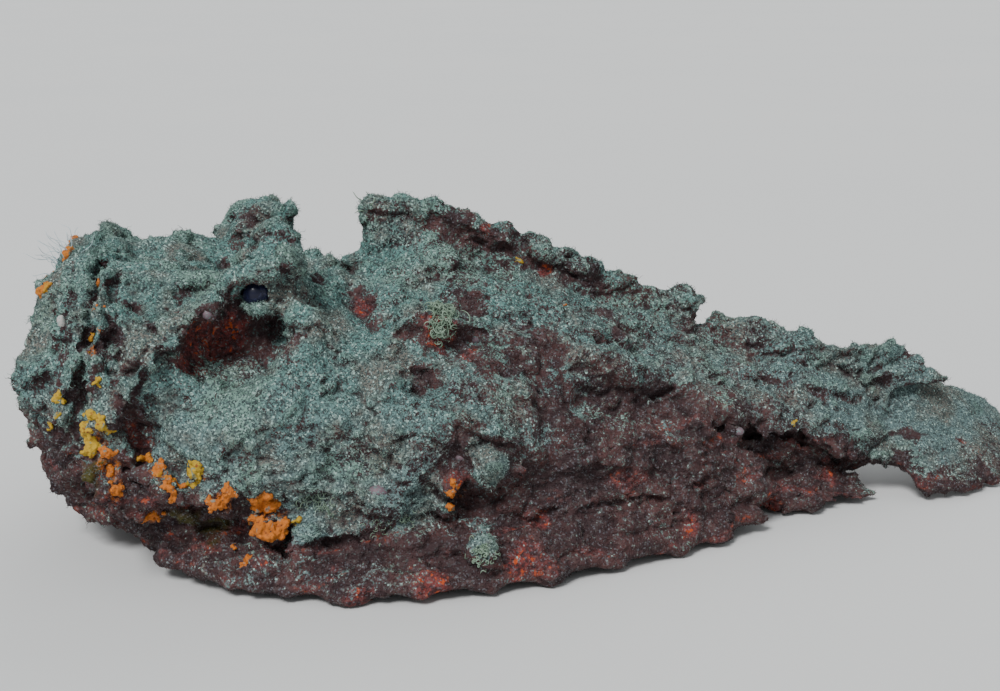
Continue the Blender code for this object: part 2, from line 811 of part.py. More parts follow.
def fins(body, parts, cutters):
    """Every fin but the pelvic pair, cut to stand on the body or to lie against it."""
    spiny = standing_fin("dorsal_fin_spiny", SPINY_DORSAL, parts)
    soft = standing_fin("dorsal_fin_soft", SOFT_DORSAL, parts)
    anal = lying_fin("anal_fin", ANAL, -1, parts)
    caudal = lying_fin("caudal_fin", CAUDAL, -1, parts)
    pectorals = [lying_fin(f"pectoral_fin_{word}", PECTORAL, side, parts) for side, word in SIDES]
    clear_of(anal, [caudal, pectorals[0]], cutters)
    for fin in (spiny, soft, anal, caudal, *pectorals):
        clear_of(fin, [body], cutters)
        keep_largest(thinned(fin, KEPT_AFTER_CUT * len(fin.data.polygons)))


def centre_on_floor(collection):
    """Moves every mesh so that the whole stands over the origin."""
    corners = np.array([vert.co for obj in collection.objects for vert in obj.data.vertices])
    middle = (corners.min(axis=0) + corners.max(axis=0)) / 2
    for obj in collection.objects:
        obj.data.transform(Matrix.Translation((-middle[0], -middle[1], 0)))


def finish(obj, colour, roughness):
    material = bpy.data.materials.new(obj.name + "_skin")
    material.use_nodes = True
    shader = material.node_tree.nodes["Principled BSDF"]
    shader.inputs["Base Color"].default_value = colour
    shader.inputs["Roughness"].default_value = roughness
    obj.data.materials.clear()
    obj.data.materials.append(material)
    obj.data.shade_smooth()
    obj.data.set_sharp_from_angle(angle=math.radians(50))


def main():
    clear_scene()
    parts = add_collection("stonefish")
    cutters = add_collection("cutters", hidden=True)
    body = whole_body(cutters)
    eyes = [eyeball(f"eye_{word}", side, parts) for side, word in SIDES]
    pelvics = [lying_fin(f"pelvic_fin_{word}", PELVIC, side, parts) for side, word in SIDES]
    clear_of(body, eyes + pelvics, cutters)
    fins(body, parts, cutters)
    part_body(body, parts, cutters)
    centre_on_floor(parts)
    for obj in parts.objects:
        if obj in eyes:
            finish(obj, EYE_COLOUR, EYE_ROUGHNESS)
        elif "fin" in obj.name:
            finish(obj, FIN_COLOUR, SKIN_ROUGHNESS)
        else:
            finish(obj, SKIN_COLOUR, SKIN_ROUGHNESS)


main()
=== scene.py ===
"""Looks of a life-size stonefish: skin, a coat of silt and algae, weed, sponges, eyes and the stage."""

import itertools
import math
from functools import cached_property

import bmesh
import bpy
import numpy as np
from bpy.props import FloatProperty, FloatVectorProperty, IntProperty, PointerProperty
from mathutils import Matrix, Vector
from mathutils.bvhtree import BVHTree
from mathutils.kdtree import KDTree


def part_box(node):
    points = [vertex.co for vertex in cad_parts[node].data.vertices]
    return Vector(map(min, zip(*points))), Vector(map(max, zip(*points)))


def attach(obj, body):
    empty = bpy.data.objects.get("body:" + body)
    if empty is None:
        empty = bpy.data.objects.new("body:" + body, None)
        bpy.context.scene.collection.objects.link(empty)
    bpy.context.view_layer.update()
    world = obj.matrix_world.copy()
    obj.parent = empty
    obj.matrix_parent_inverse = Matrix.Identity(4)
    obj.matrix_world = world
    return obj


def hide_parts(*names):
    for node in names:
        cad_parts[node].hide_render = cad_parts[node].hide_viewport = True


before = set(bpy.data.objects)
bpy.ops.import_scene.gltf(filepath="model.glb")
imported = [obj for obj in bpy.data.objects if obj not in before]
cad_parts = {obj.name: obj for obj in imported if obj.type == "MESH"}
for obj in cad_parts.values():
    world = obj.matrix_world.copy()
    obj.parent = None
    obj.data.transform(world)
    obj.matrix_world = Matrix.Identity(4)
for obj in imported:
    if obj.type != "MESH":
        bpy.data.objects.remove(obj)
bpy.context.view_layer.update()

bl_info = {
    "name": "Stonefish",
    "version": (1, 0, 0),
    "blender": (4, 5, 0),
    "location": "View3D > Sidebar > Stonefish",
    "description": "Skin, coat, sponges and eyes of a life-size stonefish",
    "category": "Object",
}

# The photograph's frame, and the camera that took it. Lengths are in metres.
PHOTO_WIDTH, PHOTO_HEIGHT = 1000, 691
LENS_MM, SENSOR_MM = 52.3, 36.0
CAMERA_AZIMUTH, CAMERA_ELEVATION = math.radians(-12), math.radians(15)
CAMERA_DISTANCE = 0.53
CAMERA_TARGET = Vector((-0.0216, 0, 0.058))
PIXEL = CAMERA_DISTANCE * SENSOR_MM / LENS_MM / PHOTO_WIDTH

# The fish. Its tail swings to one side from TAIL_START on.
EYES = ("eye_left", "eye_right")
FLESH = tuple(name for name in sorted(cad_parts) if name not in EYES)
TAIL_START, TAIL_LENGTH, TAIL_SWING = 0.0104, 0.14, -0.014
FLOOR_GAP = 0.0003
# The most that lumps and mounds lift the skin, and how far from a line its effect is worked out.
MOST_LIFT = 0.0050
FAR = 0.015
# How much thicker thin fins get before they are smoothed, on each face.
FIN_SWELLING = 0.0007
# How far lines on the skin waver from side to side, and the size of the bends.
WAVER, WAVER_SIZE = 0.0013, 0.009
# Rounds of smoothing for the fused flesh, for the copy that shows where furrows lie, and for the sponges.
FLESH_ROUNDS, FURROW_ROUNDS, SPONGE_ROUNDS = 9, 14, 2
# How deep a furrow is where its painted shade counts in full.
FURROW_DEPTH = 0.0010
# Squares of the sponges' mesh. A sponge's balls spread this far and are this big, as shares of its size.
SPONGE_VOXEL, SPONGE_SPREAD, SPONGE_SHARES = 0.00055, 0.45, (0.4, 0.65)

# The coat. Crumbs are short and wide, and hairs are thin.
CRUMB_SHARE, CRUMB_LENGTH, CRUMB_WIDTH, HAIR_WIDTH = 0.6, 0.00040, 0.00024, 0.00010
# Lowest root of the coat, and how far above the floor every blade stays.
COAT_START, LOWEST_BLADE = 0.0012, 0.0001
# How much of the skin's map one blade covers.
BLADE_PATCH = 0.0015
# Seeds. Those of the coat's pieces and of the strands count up from the ones given.
COAT_SEED, FRINGE_SEED, SPONGE_SEED, STRAND_SEED = 100, 200, 300, 400

# Where each eye looks on the near side, how far its front stands out, and where its pupil ends.
GAZE, EYE_BULGE, PUPIL_EDGE = (-0.25, 0.90, 0.30), 0.10, (0.86, 0.89)

# The stage: half the floor's width, its drop below the fish, and the colours of floor and world.
FLOOR_SIZE, FLOOR_DROP = 40.0, 0.0003
FLOOR_COLOURS = (0.62, 0.63, 0.63, 1), (0.66, 0.66, 0.65, 1)
WORLD_COLOUR, WORLD_STRENGTH = (0.86, 0.90, 0.92, 1), 0.60
# Suns light the whole floor evenly, and each shines towards the fish: name, place, spread in degrees, power.
SUNS = (("key", (-0.55, -0.70, 1.05), 20, 3.3), ("back", (0.5, 0.9, 0.8), 50, 0.6))

# Mounds that stand out of the skin: pixel at the middle, radius in pixels, height.
MOUNDS = (
    ((262, 206), 16, 0.0035), ((284, 212), 12, 0.0030), ((240, 226), 9, 0.0018), ((268, 270), 22, 0.0022),
    ((492, 466), 19, 0.0050), ((482, 552), 13, 0.0045), ((452, 492), 13, 0.0030), ((318, 522), 14, 0.0025),
    ((688, 300), 10, 0.0025), ((120, 262), 12, 0.0015), ((140, 286), 14, 0.0012),
    ((420, 470), 26, 0.0020), ((380, 512), 16, 0.0024), ((344, 492), 15, 0.0018), ((250, 385), 20, 0.0010),
    ((736, 408), 14, 0.0022), ((772, 420), 13, 0.0022), ((812, 430), 14, 0.0022), ((850, 446), 14, 0.0022),
    ((560, 380), 18, 0.0014), ((540, 250), 12, 0.0020), ((586, 268), 14, 0.0022), ((470, 222), 14, 0.0014),
    ((168, 566), 18, 0.0024), ((216, 574), 20, 0.0026), ((262, 572), 18, 0.0024), ((306, 560), 18, 0.0024),
    ((404, 486), 14, 0.0020), ((52, 464), 34, -0.0105), ((80, 510), 32, -0.0100), ((122, 548), 24, -0.0055),
    ((326, 268), 16, 0.0036),
)
# Balls of flesh that close the slot above each breast fin: a pixel on the body over it, and one on the fin.
SLOT = (((548, 436), (548, 462)), ((572, 424), (572, 458)), ((596, 416), (596, 455)),
        ((620, 412), (620, 451)), ((644, 408), (644, 449)), ((668, 402), (668, 445)),
        ((692, 398), (692, 440)), ((712, 404), (714, 438)))
SLOT_RADIUS, SLOT_DEPTH = 0.0060, 0.0050
# Balls in the fish's middle plane, down the front of the back fin to the nape.
NAPE = ((372, 207), (371, 217), (369, 227), (367, 237), (364, 247), (356, 256), (345, 260))
NAPE_RADIUS = 0.0036
# Ledges and folds of the skin: height, reach across, which way the lip leans, and pixels along it.
LEDGES = {
    "snout_edge": (0.0050, 0.0024, (0.5, -0.5, -0.6), ((109, 418), (118, 392), (128, 376), (142, 359),
                   (161, 345), (179, 334), (188, 312), (213, 297), (229, 290))),
    "snout_fold": (0.0026, 0.0020, (0.2, -0.6, -0.6), ((116, 318), (134, 300), (158, 288), (186, 284))),
    "brow": (0.0036, 0.0020, (-0.4, -0.8, -0.4), ((226, 281), (232, 262), (252, 254), (272, 252),
             (290, 256))),
    "brow_back": (0.0030, 0.0020, (0.3, -0.8, -0.3), ((290, 256), (294, 276), (296, 300), (294, 326))),
    "cheek_edge": (0.0050, 0.0030, (-0.2, -0.7, -0.7), ((132, 452), (150, 470), (172, 486), (200, 492),
                   (232, 506), (262, 526), (300, 536), (340, 530), (380, 530), (420, 534))),
    "chin_edge": (0.0040, 0.0028, (-0.6, -0.6, -0.5), ((78, 452), (98, 474), (118, 494), (142, 508))),
    "gill_edge": (0.0040, 0.0024, (0.7, -0.6, -0.4), ((455, 412), (486, 424), (512, 442), (520, 470),
                  (508, 492))),
    "gill_rim": (0.0034, 0.0022, (0.5, -0.6, -0.5), ((440, 506), (462, 520), (486, 534), (496, 552),
                 (480, 566))),
    "back_ledge": (0.0020, 0.0022, (0.0, -0.7, -0.7), ((432, 212), (458, 220), (486, 230), (512, 240))),
    "shoulder_ledge": (0.0018, 0.0020, (0.1, -0.7, -0.7), ((520, 250), (548, 260), (580, 266), (606, 280))),
    "side_fold": (0.0026, 0.0020, (0.0, -0.7, -0.7), ((400, 290), (440, 284), (480, 292), (520, 300))),
    "side_step": (0.0030, 0.0022, (0.0, -0.7, -0.7), ((500, 330), (540, 336), (580, 330), (620, 336))),
    "flank_fold": (0.0016, 0.0018, (0.0, -0.7, -0.7), ((540, 400), (566, 420), (592, 422))),
    "upper_crease": (0.0022, 0.0016, (0.0, -0.6, -0.7), ((560, 470), (620, 462), (690, 470), (740, 486))),
    "middle_crease": (0.0026, 0.0016, (0.0, -0.6, -0.7), ((470, 526), (520, 512), (575, 500), (640, 490),
                      (700, 500))),
    "lower_crease": (0.0024, 0.0016, (0.0, -0.6, -0.7), ((500, 570), (560, 560), (620, 548), (690, 530),
                     (740, 514))),
    "tail_ledge": (0.0056, 0.0028, (0.1, -0.7, -0.7), ((711, 405), (756, 421), (801, 427), (846, 438),
                   (880, 462))),
    "tail_fold": (0.0030, 0.0022, (0.1, -0.7, -0.7), ((740, 366), (780, 372), (820, 384), (860, 392))),
    "nape_fold": (0.0026, 0.0016, (-0.4, -0.6, -0.2), ((356, 292), (361, 276), (368, 262))),
    "nape_rim": (0.0024, 0.0018, (0.0, -0.7, -0.5), ((376, 290), (384, 272), (398, 262))),
    "upper_ray": (0.0034, 0.0013, (0.2, -0.4, 0.5), ((834, 351), (860, 352), (884, 349), (907, 346))),
    "lower_ray": (0.0034, 0.0013, (0.2, -0.6, 0.3), ((866, 378), (892, 376), (915, 370), (934, 372))),
    "hollow_edge": (0.0038, 0.0020, (0.0, -0.7, -0.6), ((402, 322), (420, 312), (450, 318), (480, 322))),
    "cheek_flap": (0.0018, 0.0018, (0.2, -0.7, -0.6), ((388, 372), (400, 362), (424, 366), (446, 380))),
    "lip_front": (0.0048, 0.0017, (0.5, -0.7, 0.0), ((90, 246), (84, 276), (82, 306), (78, 334), (73, 360),
                  (66, 392))),
    "lip_back": (0.0048, 0.0017, (-0.5, -0.7, 0.0), ((109, 248), (108, 276), (106, 306), (102, 334),
                 (96, 360), (90, 392))),
    "upper_lip": (0.0042, 0.0018, (-0.4, -0.7, -0.1), ((126, 250), (126, 284), (124, 318), (118, 350))),
    "jaw_lip": (0.0026, 0.0018, (-0.5, -0.7, -0.2), ((58, 300), (52, 330), (46, 356), (36, 384))),
}
# Grooves: depth, reach across, and pixels along it.
GROOVES = {
    "mouth": (0.0045, 0.0015, ((100, 247), (97, 270), (95, 300), (92, 330), (88, 354), (83, 380), (78, 410),
              (75, 440))),
    "lip_fold": (0.0034, 0.0012, ((118, 252), (117, 285), (114, 320), (108, 350), (103, 376))),
    "jaw_fold": (0.0034, 0.0012, ((72, 262), (70, 296), (66, 330), (60, 360), (56, 390))),
    "pit": (0.0016, 0.0065, ((190, 352), (214, 338), (240, 334), (262, 342))),
    "cheek_slit": (0.0034, 0.0013, ((112, 384), (122, 372), (132, 362))),
    "front_nostril": (0.0050, 0.0020, ((128, 304), (133, 307))),
    "rear_nostril": (0.0045, 0.0020, ((150, 326), (155, 331))),
    "under_eye": (0.0064, 0.0046, ((232, 314), (252, 324), (272, 332))),
    "back_slit": (0.0044, 0.0014, ((470, 238), (490, 245), (508, 251))),
    "nape_hollow": (0.0060, 0.0046, ((358, 292), (366, 306), (374, 320))),
    "side_hollow": (0.0050, 0.0036, ((412, 330), (436, 342), (462, 336))),
    "gill_gap": (0.0060, 0.0032, ((470, 500), (490, 504), (508, 500))),
    "gill_front": (0.0018, 0.0022, ((462, 440), (456, 462), (462, 482))),
    "throat": (0.0014, 0.0040, ((336, 556), (380, 552), (430, 548), (462, 552))),
    "gill_cavity": (0.0028, 0.0040, ((408, 556), (440, 557), (468, 566))),
    "chin_hollow": (0.0050, 0.0042, ((122, 404), (132, 428), (140, 452), (136, 474))),
    "olive_hollow": (0.0040, 0.0034, ((160, 514), (200, 524), (236, 530))),
    "tail_slit": (0.0040, 0.0016, ((894, 434), (912, 433), (928, 436))),
    "tail_hollow": (0.0040, 0.0034, ((720, 424), (760, 436), (800, 442), (840, 452), (870, 470))),
    "flank_slit_front": (0.0026, 0.0016, ((666, 556), (700, 546), (730, 538))),
    "flank_slit_back": (0.0026, 0.0016, ((740, 510), (770, 502), (800, 494))),
    "flank_slit_low": (0.0012, 0.0015, ((530, 520), (570, 516), (610, 504))),
}
# Grooves that are bare of silt but get little painted shade.
FAINT_SHADE_GROOVES = ("pit", "nape_hollow", "side_hollow", "chin_hollow", "olive_hollow", "gill_front",
                 "tail_hollow", "lip_fold", "jaw_fold")
# Where silt gives way to bare skin on the flank, from head to tail.
SILT_LINE = ((104, 452), (160, 470), (232, 506), (300, 540), (380, 540), (450, 545), (500, 520), (524, 470),
             (560, 440), (620, 432), (690, 416), (756, 428), (801, 434), (846, 444), (880, 470))
# Patches on the skin, by kind: pixel at the middle and radius in pixels.
PATCHES = {
    "crimson": (((202, 338), 22), ((230, 334), 17), ((186, 362), 13), ((364, 314), 10), ((136, 440), 14),
                ((442, 330), 14), ((468, 356), 7), ((546, 272), 8), ((484, 228), 7), ((690, 522), 10),
                ((764, 506), 12), ((458, 482), 9), ((540, 522), 12), ((520, 560), 14), ((432, 592), 16),
                ((830, 478), 9)),
    "bare": (((204, 334), 16), ((212, 312), 12), ((136, 450), 13), ((124, 474), 12), ((364, 308), 15),
             ((316, 280), 9), ((430, 330), 15), ((490, 243), 10), ((514, 362), 14), ((620, 330), 10),
             ((604, 312), 8), ((455, 480), 14), ((912, 435), 8), ((938, 486), 11), ((984, 470), 9),
             ((902, 456), 8), ((960, 440), 5), ((880, 378), 9), ((912, 348), 7)),
    "thin": (((238, 318), 20), ((230, 354), 26), ((182, 362), 18), ((256, 358), 20), ((208, 372), 18),
             ((288, 350), 14), ((136, 424), 21), ((540, 352), 26), ((470, 300), 18), ((620, 400), 20),
             ((560, 410), 26), ((460, 488), 12), ((250, 216), 13), ((285, 238), 10), ((236, 242), 8),
             ((302, 302), 13), ((480, 360), 19), ((418, 380), 16), ((462, 226), 17), ((374, 210), 8)),
    "gold": (((94, 440), 11), ((108, 466), 8), ((116, 490), 7), ((160, 474), 8), ((195, 472), 7),
             ((224, 500), 8), ((268, 518), 12), ((98, 330), 4), ((101, 300), 3), ((92, 352), 4),
             ((150, 516), 8), ((458, 496), 6)),
    "olive": (((184, 522), 14), ((212, 524), 15), ((92, 478), 13)),
    "silt": (((482, 552), 15), ((312, 528), 15), ((492, 460), 20), ((424, 492), 17)),
}
# How far each kind of patch thins the silt. Patches of silt make it thicker instead.
BARENESS = {"bare": 1.0, "crimson": 1.0, "thin": 0.6, "gold": 0.6, "olive": 0.6}
# Small round growths: pixel at the middle, half width and half height in pixels, pale or pink.
GROWTHS = (((61, 322), 4, 7, "growth_pale"), ((378, 492), 9, 7, "growth"), ((207, 315), 5, 5, "growth"),
           ((475, 340), 4, 4, "growth"), ((740, 431), 5, 4, "growth"), ((460, 458), 5, 3, "growth"))
# Long filaments: pixel at the root, how many, length, thickness, curl, colour's name.
STRANDS = (
    ((441, 312), 130, 0.0034, 0.00030, 3.0, "weed"), ((442, 328), 80, 0.0030, 0.00030, 3.0, "weed"),
    ((368, 204), 3, 0.0050, 0.00026, 0.3, "weed"), ((58, 262), 8, 0.0090, 0.00014, 0.8, "polyp"),
    ((66, 256), 7, 0.0080, 0.00014, 0.8, "polyp"), ((484, 552), 70, 0.0020, 0.00028, 2.6, "weed"),
    ((312, 500), 26, 0.0030, 0.00014, 1.4, "weed"), ((326, 508), 24, 0.0036, 0.00014, 1.3, "weed"),
    ((378, 528), 22, 0.0034, 0.00014, 1.3, "weed"), ((404, 520), 18, 0.0030, 0.00014, 1.3, "weed"),
)

# Sponges: pixel at the middle, half width and half height in pixels, share of yellow.
SPONGES = (
    ((68, 254), 8, 7, 0.35), ((43, 290), 10, 8, 0.45), ((100, 284), 4, 6, 0.3), ((98, 306), 4, 7, 0.25),
    ((93, 336), 4, 9, 0.5), ((88, 351), 3, 6, 0.5), ((95, 382), 6, 5, 0.9), ((60, 396), 7, 12, 0.85),
    ((50, 428), 5, 7, 0.7),
    ((99, 424), 9, 9, 0.95), ((86, 430), 9, 12, 0.9), ((92, 450), 11, 9, 0.8), ((110, 454), 7, 7, 0.15),
    ((111, 467), 8, 9, 0.1), ((117, 490), 10, 6, 0.15), ((148, 459), 8, 6, 0.45), ((160, 468), 8, 6, 0.35),
    ((170, 479), 6, 5, 0.4), ((175, 490), 8, 8, 0.05), ((191, 463), 7, 5, 0.8), ((197, 474), 9, 9, 0.85),
    ((190, 484), 5, 5, 0.9), ((231, 492), 9, 7, 0.25), ((220, 502), 11, 7, 0.25), ((264, 506), 11, 11, 0.3),
    ((258, 525), 11, 10, 0.05), ((276, 530), 13, 9, 0.1), ((294, 523), 5, 6, 0.9), ((150, 515), 13, 6, 0.1),
    ((247, 562), 6, 11, 0.05), ((232, 545), 4, 4, 0.2), ((452, 494), 7, 13, 0.15), ((517, 260), 5, 4, 0.7),
    ((565, 305), 4, 3, 0.1), ((793, 424), 5, 4, 0.8),
)

# Pieces of the coat from head to tail, each from one x to the next.
COAT_BANDS = (("front", -1, -0.130), ("cheek", -0.130, -0.085), ("gill", -0.085, -0.035),
              ("flank", -0.035, 0.020), ("stalk", 0.020, 0.090), ("tail", 0.090, 1))


def camera_axes():
    """The camera's place and its right, up and forward directions."""
    level = math.cos(CAMERA_ELEVATION)
    back = Vector((math.sin(CAMERA_AZIMUTH) * level, -math.cos(CAMERA_AZIMUTH) * level,
                   math.sin(CAMERA_ELEVATION)))
    right = Vector((0, 0, 1)).cross(back).normalized()
    return CAMERA_TARGET + back * CAMERA_DISTANCE, right, back.cross(right), -back


def ray_of(pixel):
    """Start and direction of the ray that the camera sees at a pixel of the photograph."""
    place, right, up, forward = camera_axes()
    scale = SENSOR_MM / LENS_MM / PHOTO_WIDTH
    across, down = pixel[0] - PHOTO_WIDTH / 2, pixel[1] - PHOTO_HEIGHT / 2
    return place, (forward + right * across * scale - up * down * scale).normalized()


def eased(share):
    """Clipped to 0 to 1, with a soft start and end."""
    share = np.clip(share, 0, 1)
    return share * share * (3 - 2 * share)


def midline(x):
    """How far the fish's middle lies to one side at x."""
    return TAIL_SWING * eased((x - TAIL_START) / TAIL_LENGTH)


def other_side(point):
    """The same place on the fish's other side."""
    return Vector((point[0], 2 * float(midline(point[0])) - point[1], point[2]))


def columns(data, name, width, kind=np.float32):
    """A field of mesh data as an array with this many columns."""
    values = np.empty(len(data) * width, kind)
    data.foreach_get(name, values)
    return values.reshape(-1, width)


class Surface:
    """The points, normals and search tree of a mesh of squares."""

    def __init__(self, mesh):
        self.points = columns(mesh.vertices, "co", 3).astype(np.float64)
        self.normals = columns(mesh.vertex_normals, "vector", 3).astype(np.float64)
        self.faces = columns(mesh.polygons, "vertices", 4, np.int32)
        self.tree = BVHTree.FromPolygons(self.points.tolist(), self.faces.tolist())

    def seen(self, pixel):
        """The point of the surface that a pixel shows, or else the nearest one to its line of sight."""
        start, direction = ray_of(pixel)
        hit = self.tree.ray_cast(start, direction)[0]
        if hit is None:
            ends = self.points - np.array(start)
            along = ends @ np.array(direction)
            off = np.linalg.norm(ends - along[:, None] * np.array(direction), axis=1)
            hit = Vector(self.points[off.argmin()])
        return hit

    def both_sides(self, pixel):
        """The point seen at a pixel, and its like on the other side."""
        near = self.seen(pixel)
        return near, self.tree.find_nearest(other_side(near))[0]

    @cached_property
    def waved(self):
        """The points shifted a little, so that lines on the skin waver."""
        return self.points + WAVER * shifts(self.points, WAVER_SIZE, 21, 3, 2)


def store(mesh, points):
    """Puts the mesh's points in these places."""
    mesh.vertices.foreach_set("co", points.astype(np.float32).ravel())
    mesh.update()


def shuffled(order, cells):
    """A number from 0 to 255 for each cell of a grid, the same each time."""
    return order[(order[(order[cells[:, 0] & 255] + cells[:, 1]) & 255] + cells[:, 2]) & 255]


def lumps(points, size, seed):
    """Smooth seeded noise, about -1 to 1, with lumps of this size in metres."""
    random = np.random.default_rng(seed)
    order = random.permutation(256)
    slopes = random.normal(size=(256, 3))
    slopes /= np.linalg.norm(slopes, axis=1)[:, None]
    scaled = points / size
    cell = np.floor(scaled).astype(np.int64)
    inside = scaled - cell
    weight = inside * inside * inside * (inside * (inside * 6 - 15) + 10)
    total = np.zeros(len(points))
    for corner in range(8):
        step = np.array((corner & 1, corner >> 1 & 1, corner >> 2 & 1))
        share = np.prod(np.where(step, weight, 1 - weight), axis=1)
        total += share * np.einsum("ij,ij->i", slopes[shuffled(order, cell + step)], inside - step)
    return total * 1.6


def layered(points, size, seed, layers=3):
    """Noise with finer layers on it."""
    total = 0
    for layer in range(layers):
        total = total + lumps(points, size / 2**layer, seed + layer) / 2**layer
    return total


def shifts(points, size, seed, seeds_apart=1, layers=1):
    """Noise in each of the three directions."""
    return np.stack([layered(points, size, seed + seeds_apart * i, layers) for i in range(3)], axis=1)


def folds(points, across, seed, stretch=4.0):
    """Wrinkles that run from head to tail: 1 on a crest and 0 in a furrow."""
    bent = points + 0.8 * across * shifts(points, 0.02, seed)
    bent = bent * np.array((1 / stretch, 1, 1))
    return 1 - np.minimum(np.abs(lumps(bent, across, seed + 5)) * 2.2, 1)


def pads(points, size, seed):
    """Rounded cushions set side by side: 1 on a cushion and 0 in the gap between two."""
    random = np.random.default_rng(seed)
    order, middles = random.permutation(256), random.random((256, 3))
    scaled = (points + 0.3 * size * shifts(points, size, seed)) / size
    cell = np.floor(scaled).astype(np.int64)
    first, second = np.full(len(points), 9.0), np.full(len(points), 9.0)
    for step in itertools.product((-1, 0, 1), repeat=3):
        at = cell + np.array(step)
        away = np.linalg.norm(at + middles[shuffled(order, at)] - scaled, axis=1)
        second = np.minimum(second, np.maximum(first, away))
        first = np.minimum(first, away)
    return eased((second - first) / 0.45)


def near_line(points, line):
    """Distance from each point to a line of points, or 1 m where it is over FAR."""
    line = np.array([end[:] for end in line])
    near = np.all((points > line.min(axis=0) - FAR) & (points < line.max(axis=0) + FAR), axis=1)
    inside = points[near]
    least = np.full(len(inside), 1.0)
    for start, end in zip(line[:-1], line[1:]):
        run = end - start
        share = np.clip((inside - start) @ run / max(run @ run, 1e-12), 0, 1)
        least = np.minimum(least, np.linalg.norm(inside - start - share[:, None] * run, axis=1))
    best = np.full(len(points), 1.0)
    best[near] = least
    return best


def lines_of(surface, pixels):
    """A line of pixels as points on the near side, and on the other side."""
    return zip(*[surface.both_sides(pixel) for pixel in pixels])


def leaning(lean, side):
    """A ledge's lean as a direction on the near side, 1, or on the other side, -1."""
    return np.array((lean[0], lean[1] * side, lean[2]))


def under_ledges(surface):
    """1 in the shade under a ledge's lip and 0 away from it, with the ledge's height in metres."""
    points = surface.waved
    shade, height_here = np.zeros(len(points)), np.zeros(len(points))
    for name, (height, reach, lean, pixels) in LEDGES.items():
        if name.endswith("_ray"):
            continue
        for side, line in zip((1, -1), lines_of(surface, pixels)):
            down = leaning((0.4 * lean[0], 0, -1), side) * 1.9 * reach
            below = [np.array(end) + down for end in line]
            share = min(height / 0.004, 1) * np.exp(-((near_line(points, below) / reach) ** 4))
            height_here = np.where(share > shade, height, height_here)
            shade = np.maximum(shade, share)
    return shade, height_here


def remeshed(obj, voxel):
    """Makes the object's mesh anew from even squares."""
    modifier = obj.modifiers.new("even", "REMESH")
    modifier.mode = "VOXEL"
    modifier.voxel_size = voxel
    bpy.context.view_layer.update()
    evaluated = obj.evaluated_get(bpy.context.evaluated_depsgraph_get())
    mesh = bpy.data.meshes.new_from_object(evaluated)
    obj.modifiers.clear()
    obj.data = mesh


def softened(mesh, rounds):
    """Moves each point towards its neighbours' mean."""
    bm = bmesh.new()
    bm.from_mesh(mesh)
    for _ in range(rounds):
        bmesh.ops.smooth_vert(bm, verts=bm.verts, factor=0.5, use_axis_x=True, use_axis_y=True,
                              use_axis_z=True)
    bm.to_mesh(mesh)
    bm.free()
    mesh.update()


def flesh_shell(voxel):
    """The nodes of flesh, swollen by a hair and fused into one closed mesh."""
    bm = bmesh.new()
    for name in FLESH:
        part = bmesh.new()
        part.from_mesh(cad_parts[name].data)
        bmesh.ops.remove_doubles(part, verts=part.verts, dist=1e-6)
        part.normal_update()
        swelling = FIN_SWELLING if "_fin" in name else FLOOR_GAP
        for vert in part.verts:
            vert.co += vert.normal * swelling
        mesh = bpy.data.meshes.new(name)
        part.to_mesh(mesh)
        part.free()
        bm.from_mesh(mesh)
        bpy.data.meshes.remove(mesh)
    mesh = bpy.data.meshes.new("skin")
    bm.to_mesh(mesh)
    bm.free()
    skin = bpy.data.objects.new("skin", mesh)
    bpy.context.scene.collection.objects.link(skin)
    remeshed(skin, voxel)
    close_gaps(skin)
    remeshed(skin, voxel)
    softened(skin.data, FLESH_ROUNDS)
    return skin


def close_gaps(skin):
    """Adds balls of flesh in the slot above each breast fin and down the front of the back fin."""
    surface = Surface(skin.data)
    balls = []
    for over, under in SLOT:
        inward = ray_of(over)[1] * SLOT_DEPTH
        first, last = surface.seen(over), surface.seen(under)
        for share in (0, 0.2, 0.4, 0.6, 0.8, 1):
            centre = first.lerp(last, share) + inward
            balls += [(centre, SLOT_RADIUS), (other_side(centre), SLOT_RADIUS)]
    for pixel in NAPE:
        start, direction = ray_of(pixel)
        balls.append((start - direction * (start.y / direction.y), NAPE_RADIUS))
    # The balls are made in a small mesh of their own, because each step is slow in a big one.
    bm = bmesh.new()
    for centre, radius in balls:
        made = bmesh.ops.create_icosphere(bm, subdivisions=2, radius=radius)["verts"]
        bmesh.ops.translate(bm, verts=made, vec=centre)
    filling = bpy.data.meshes.new("filling")
    bm.to_mesh(filling)
    bm.clear()
    bm.from_mesh(skin.data)
    bm.from_mesh(filling)
    bm.to_mesh(skin.data)
    bm.free()
    bpy.data.meshes.remove(filling)


def keep_biggest(mesh):
    """Drops loose scraps, and keeps the biggest connected part."""
    first, second = columns(mesh.edges, "vertices", 2, np.int32).T
    part, joined = None, np.arange(len(mesh.vertices))
    while not np.array_equal(part, joined):
        part, joined = joined, joined.copy()
        least = np.minimum(part[first], part[second])
        np.minimum.at(joined, part[first], least)
        np.minimum.at(joined, part[second], least)
        while not np.array_equal(joined, joined[joined]):
            joined = joined[joined]
    loose = np.flatnonzero(part != np.bincount(part).argmax())
    bm = bmesh.new()
    bm.from_mesh(mesh)
    bm.verts.ensure_lookup_table()
    bmesh.ops.delete(bm, geom=[bm.verts[i] for i in loose], context="VERTS")
    bm.to_mesh(mesh)
    bm.free()
    mesh.update()


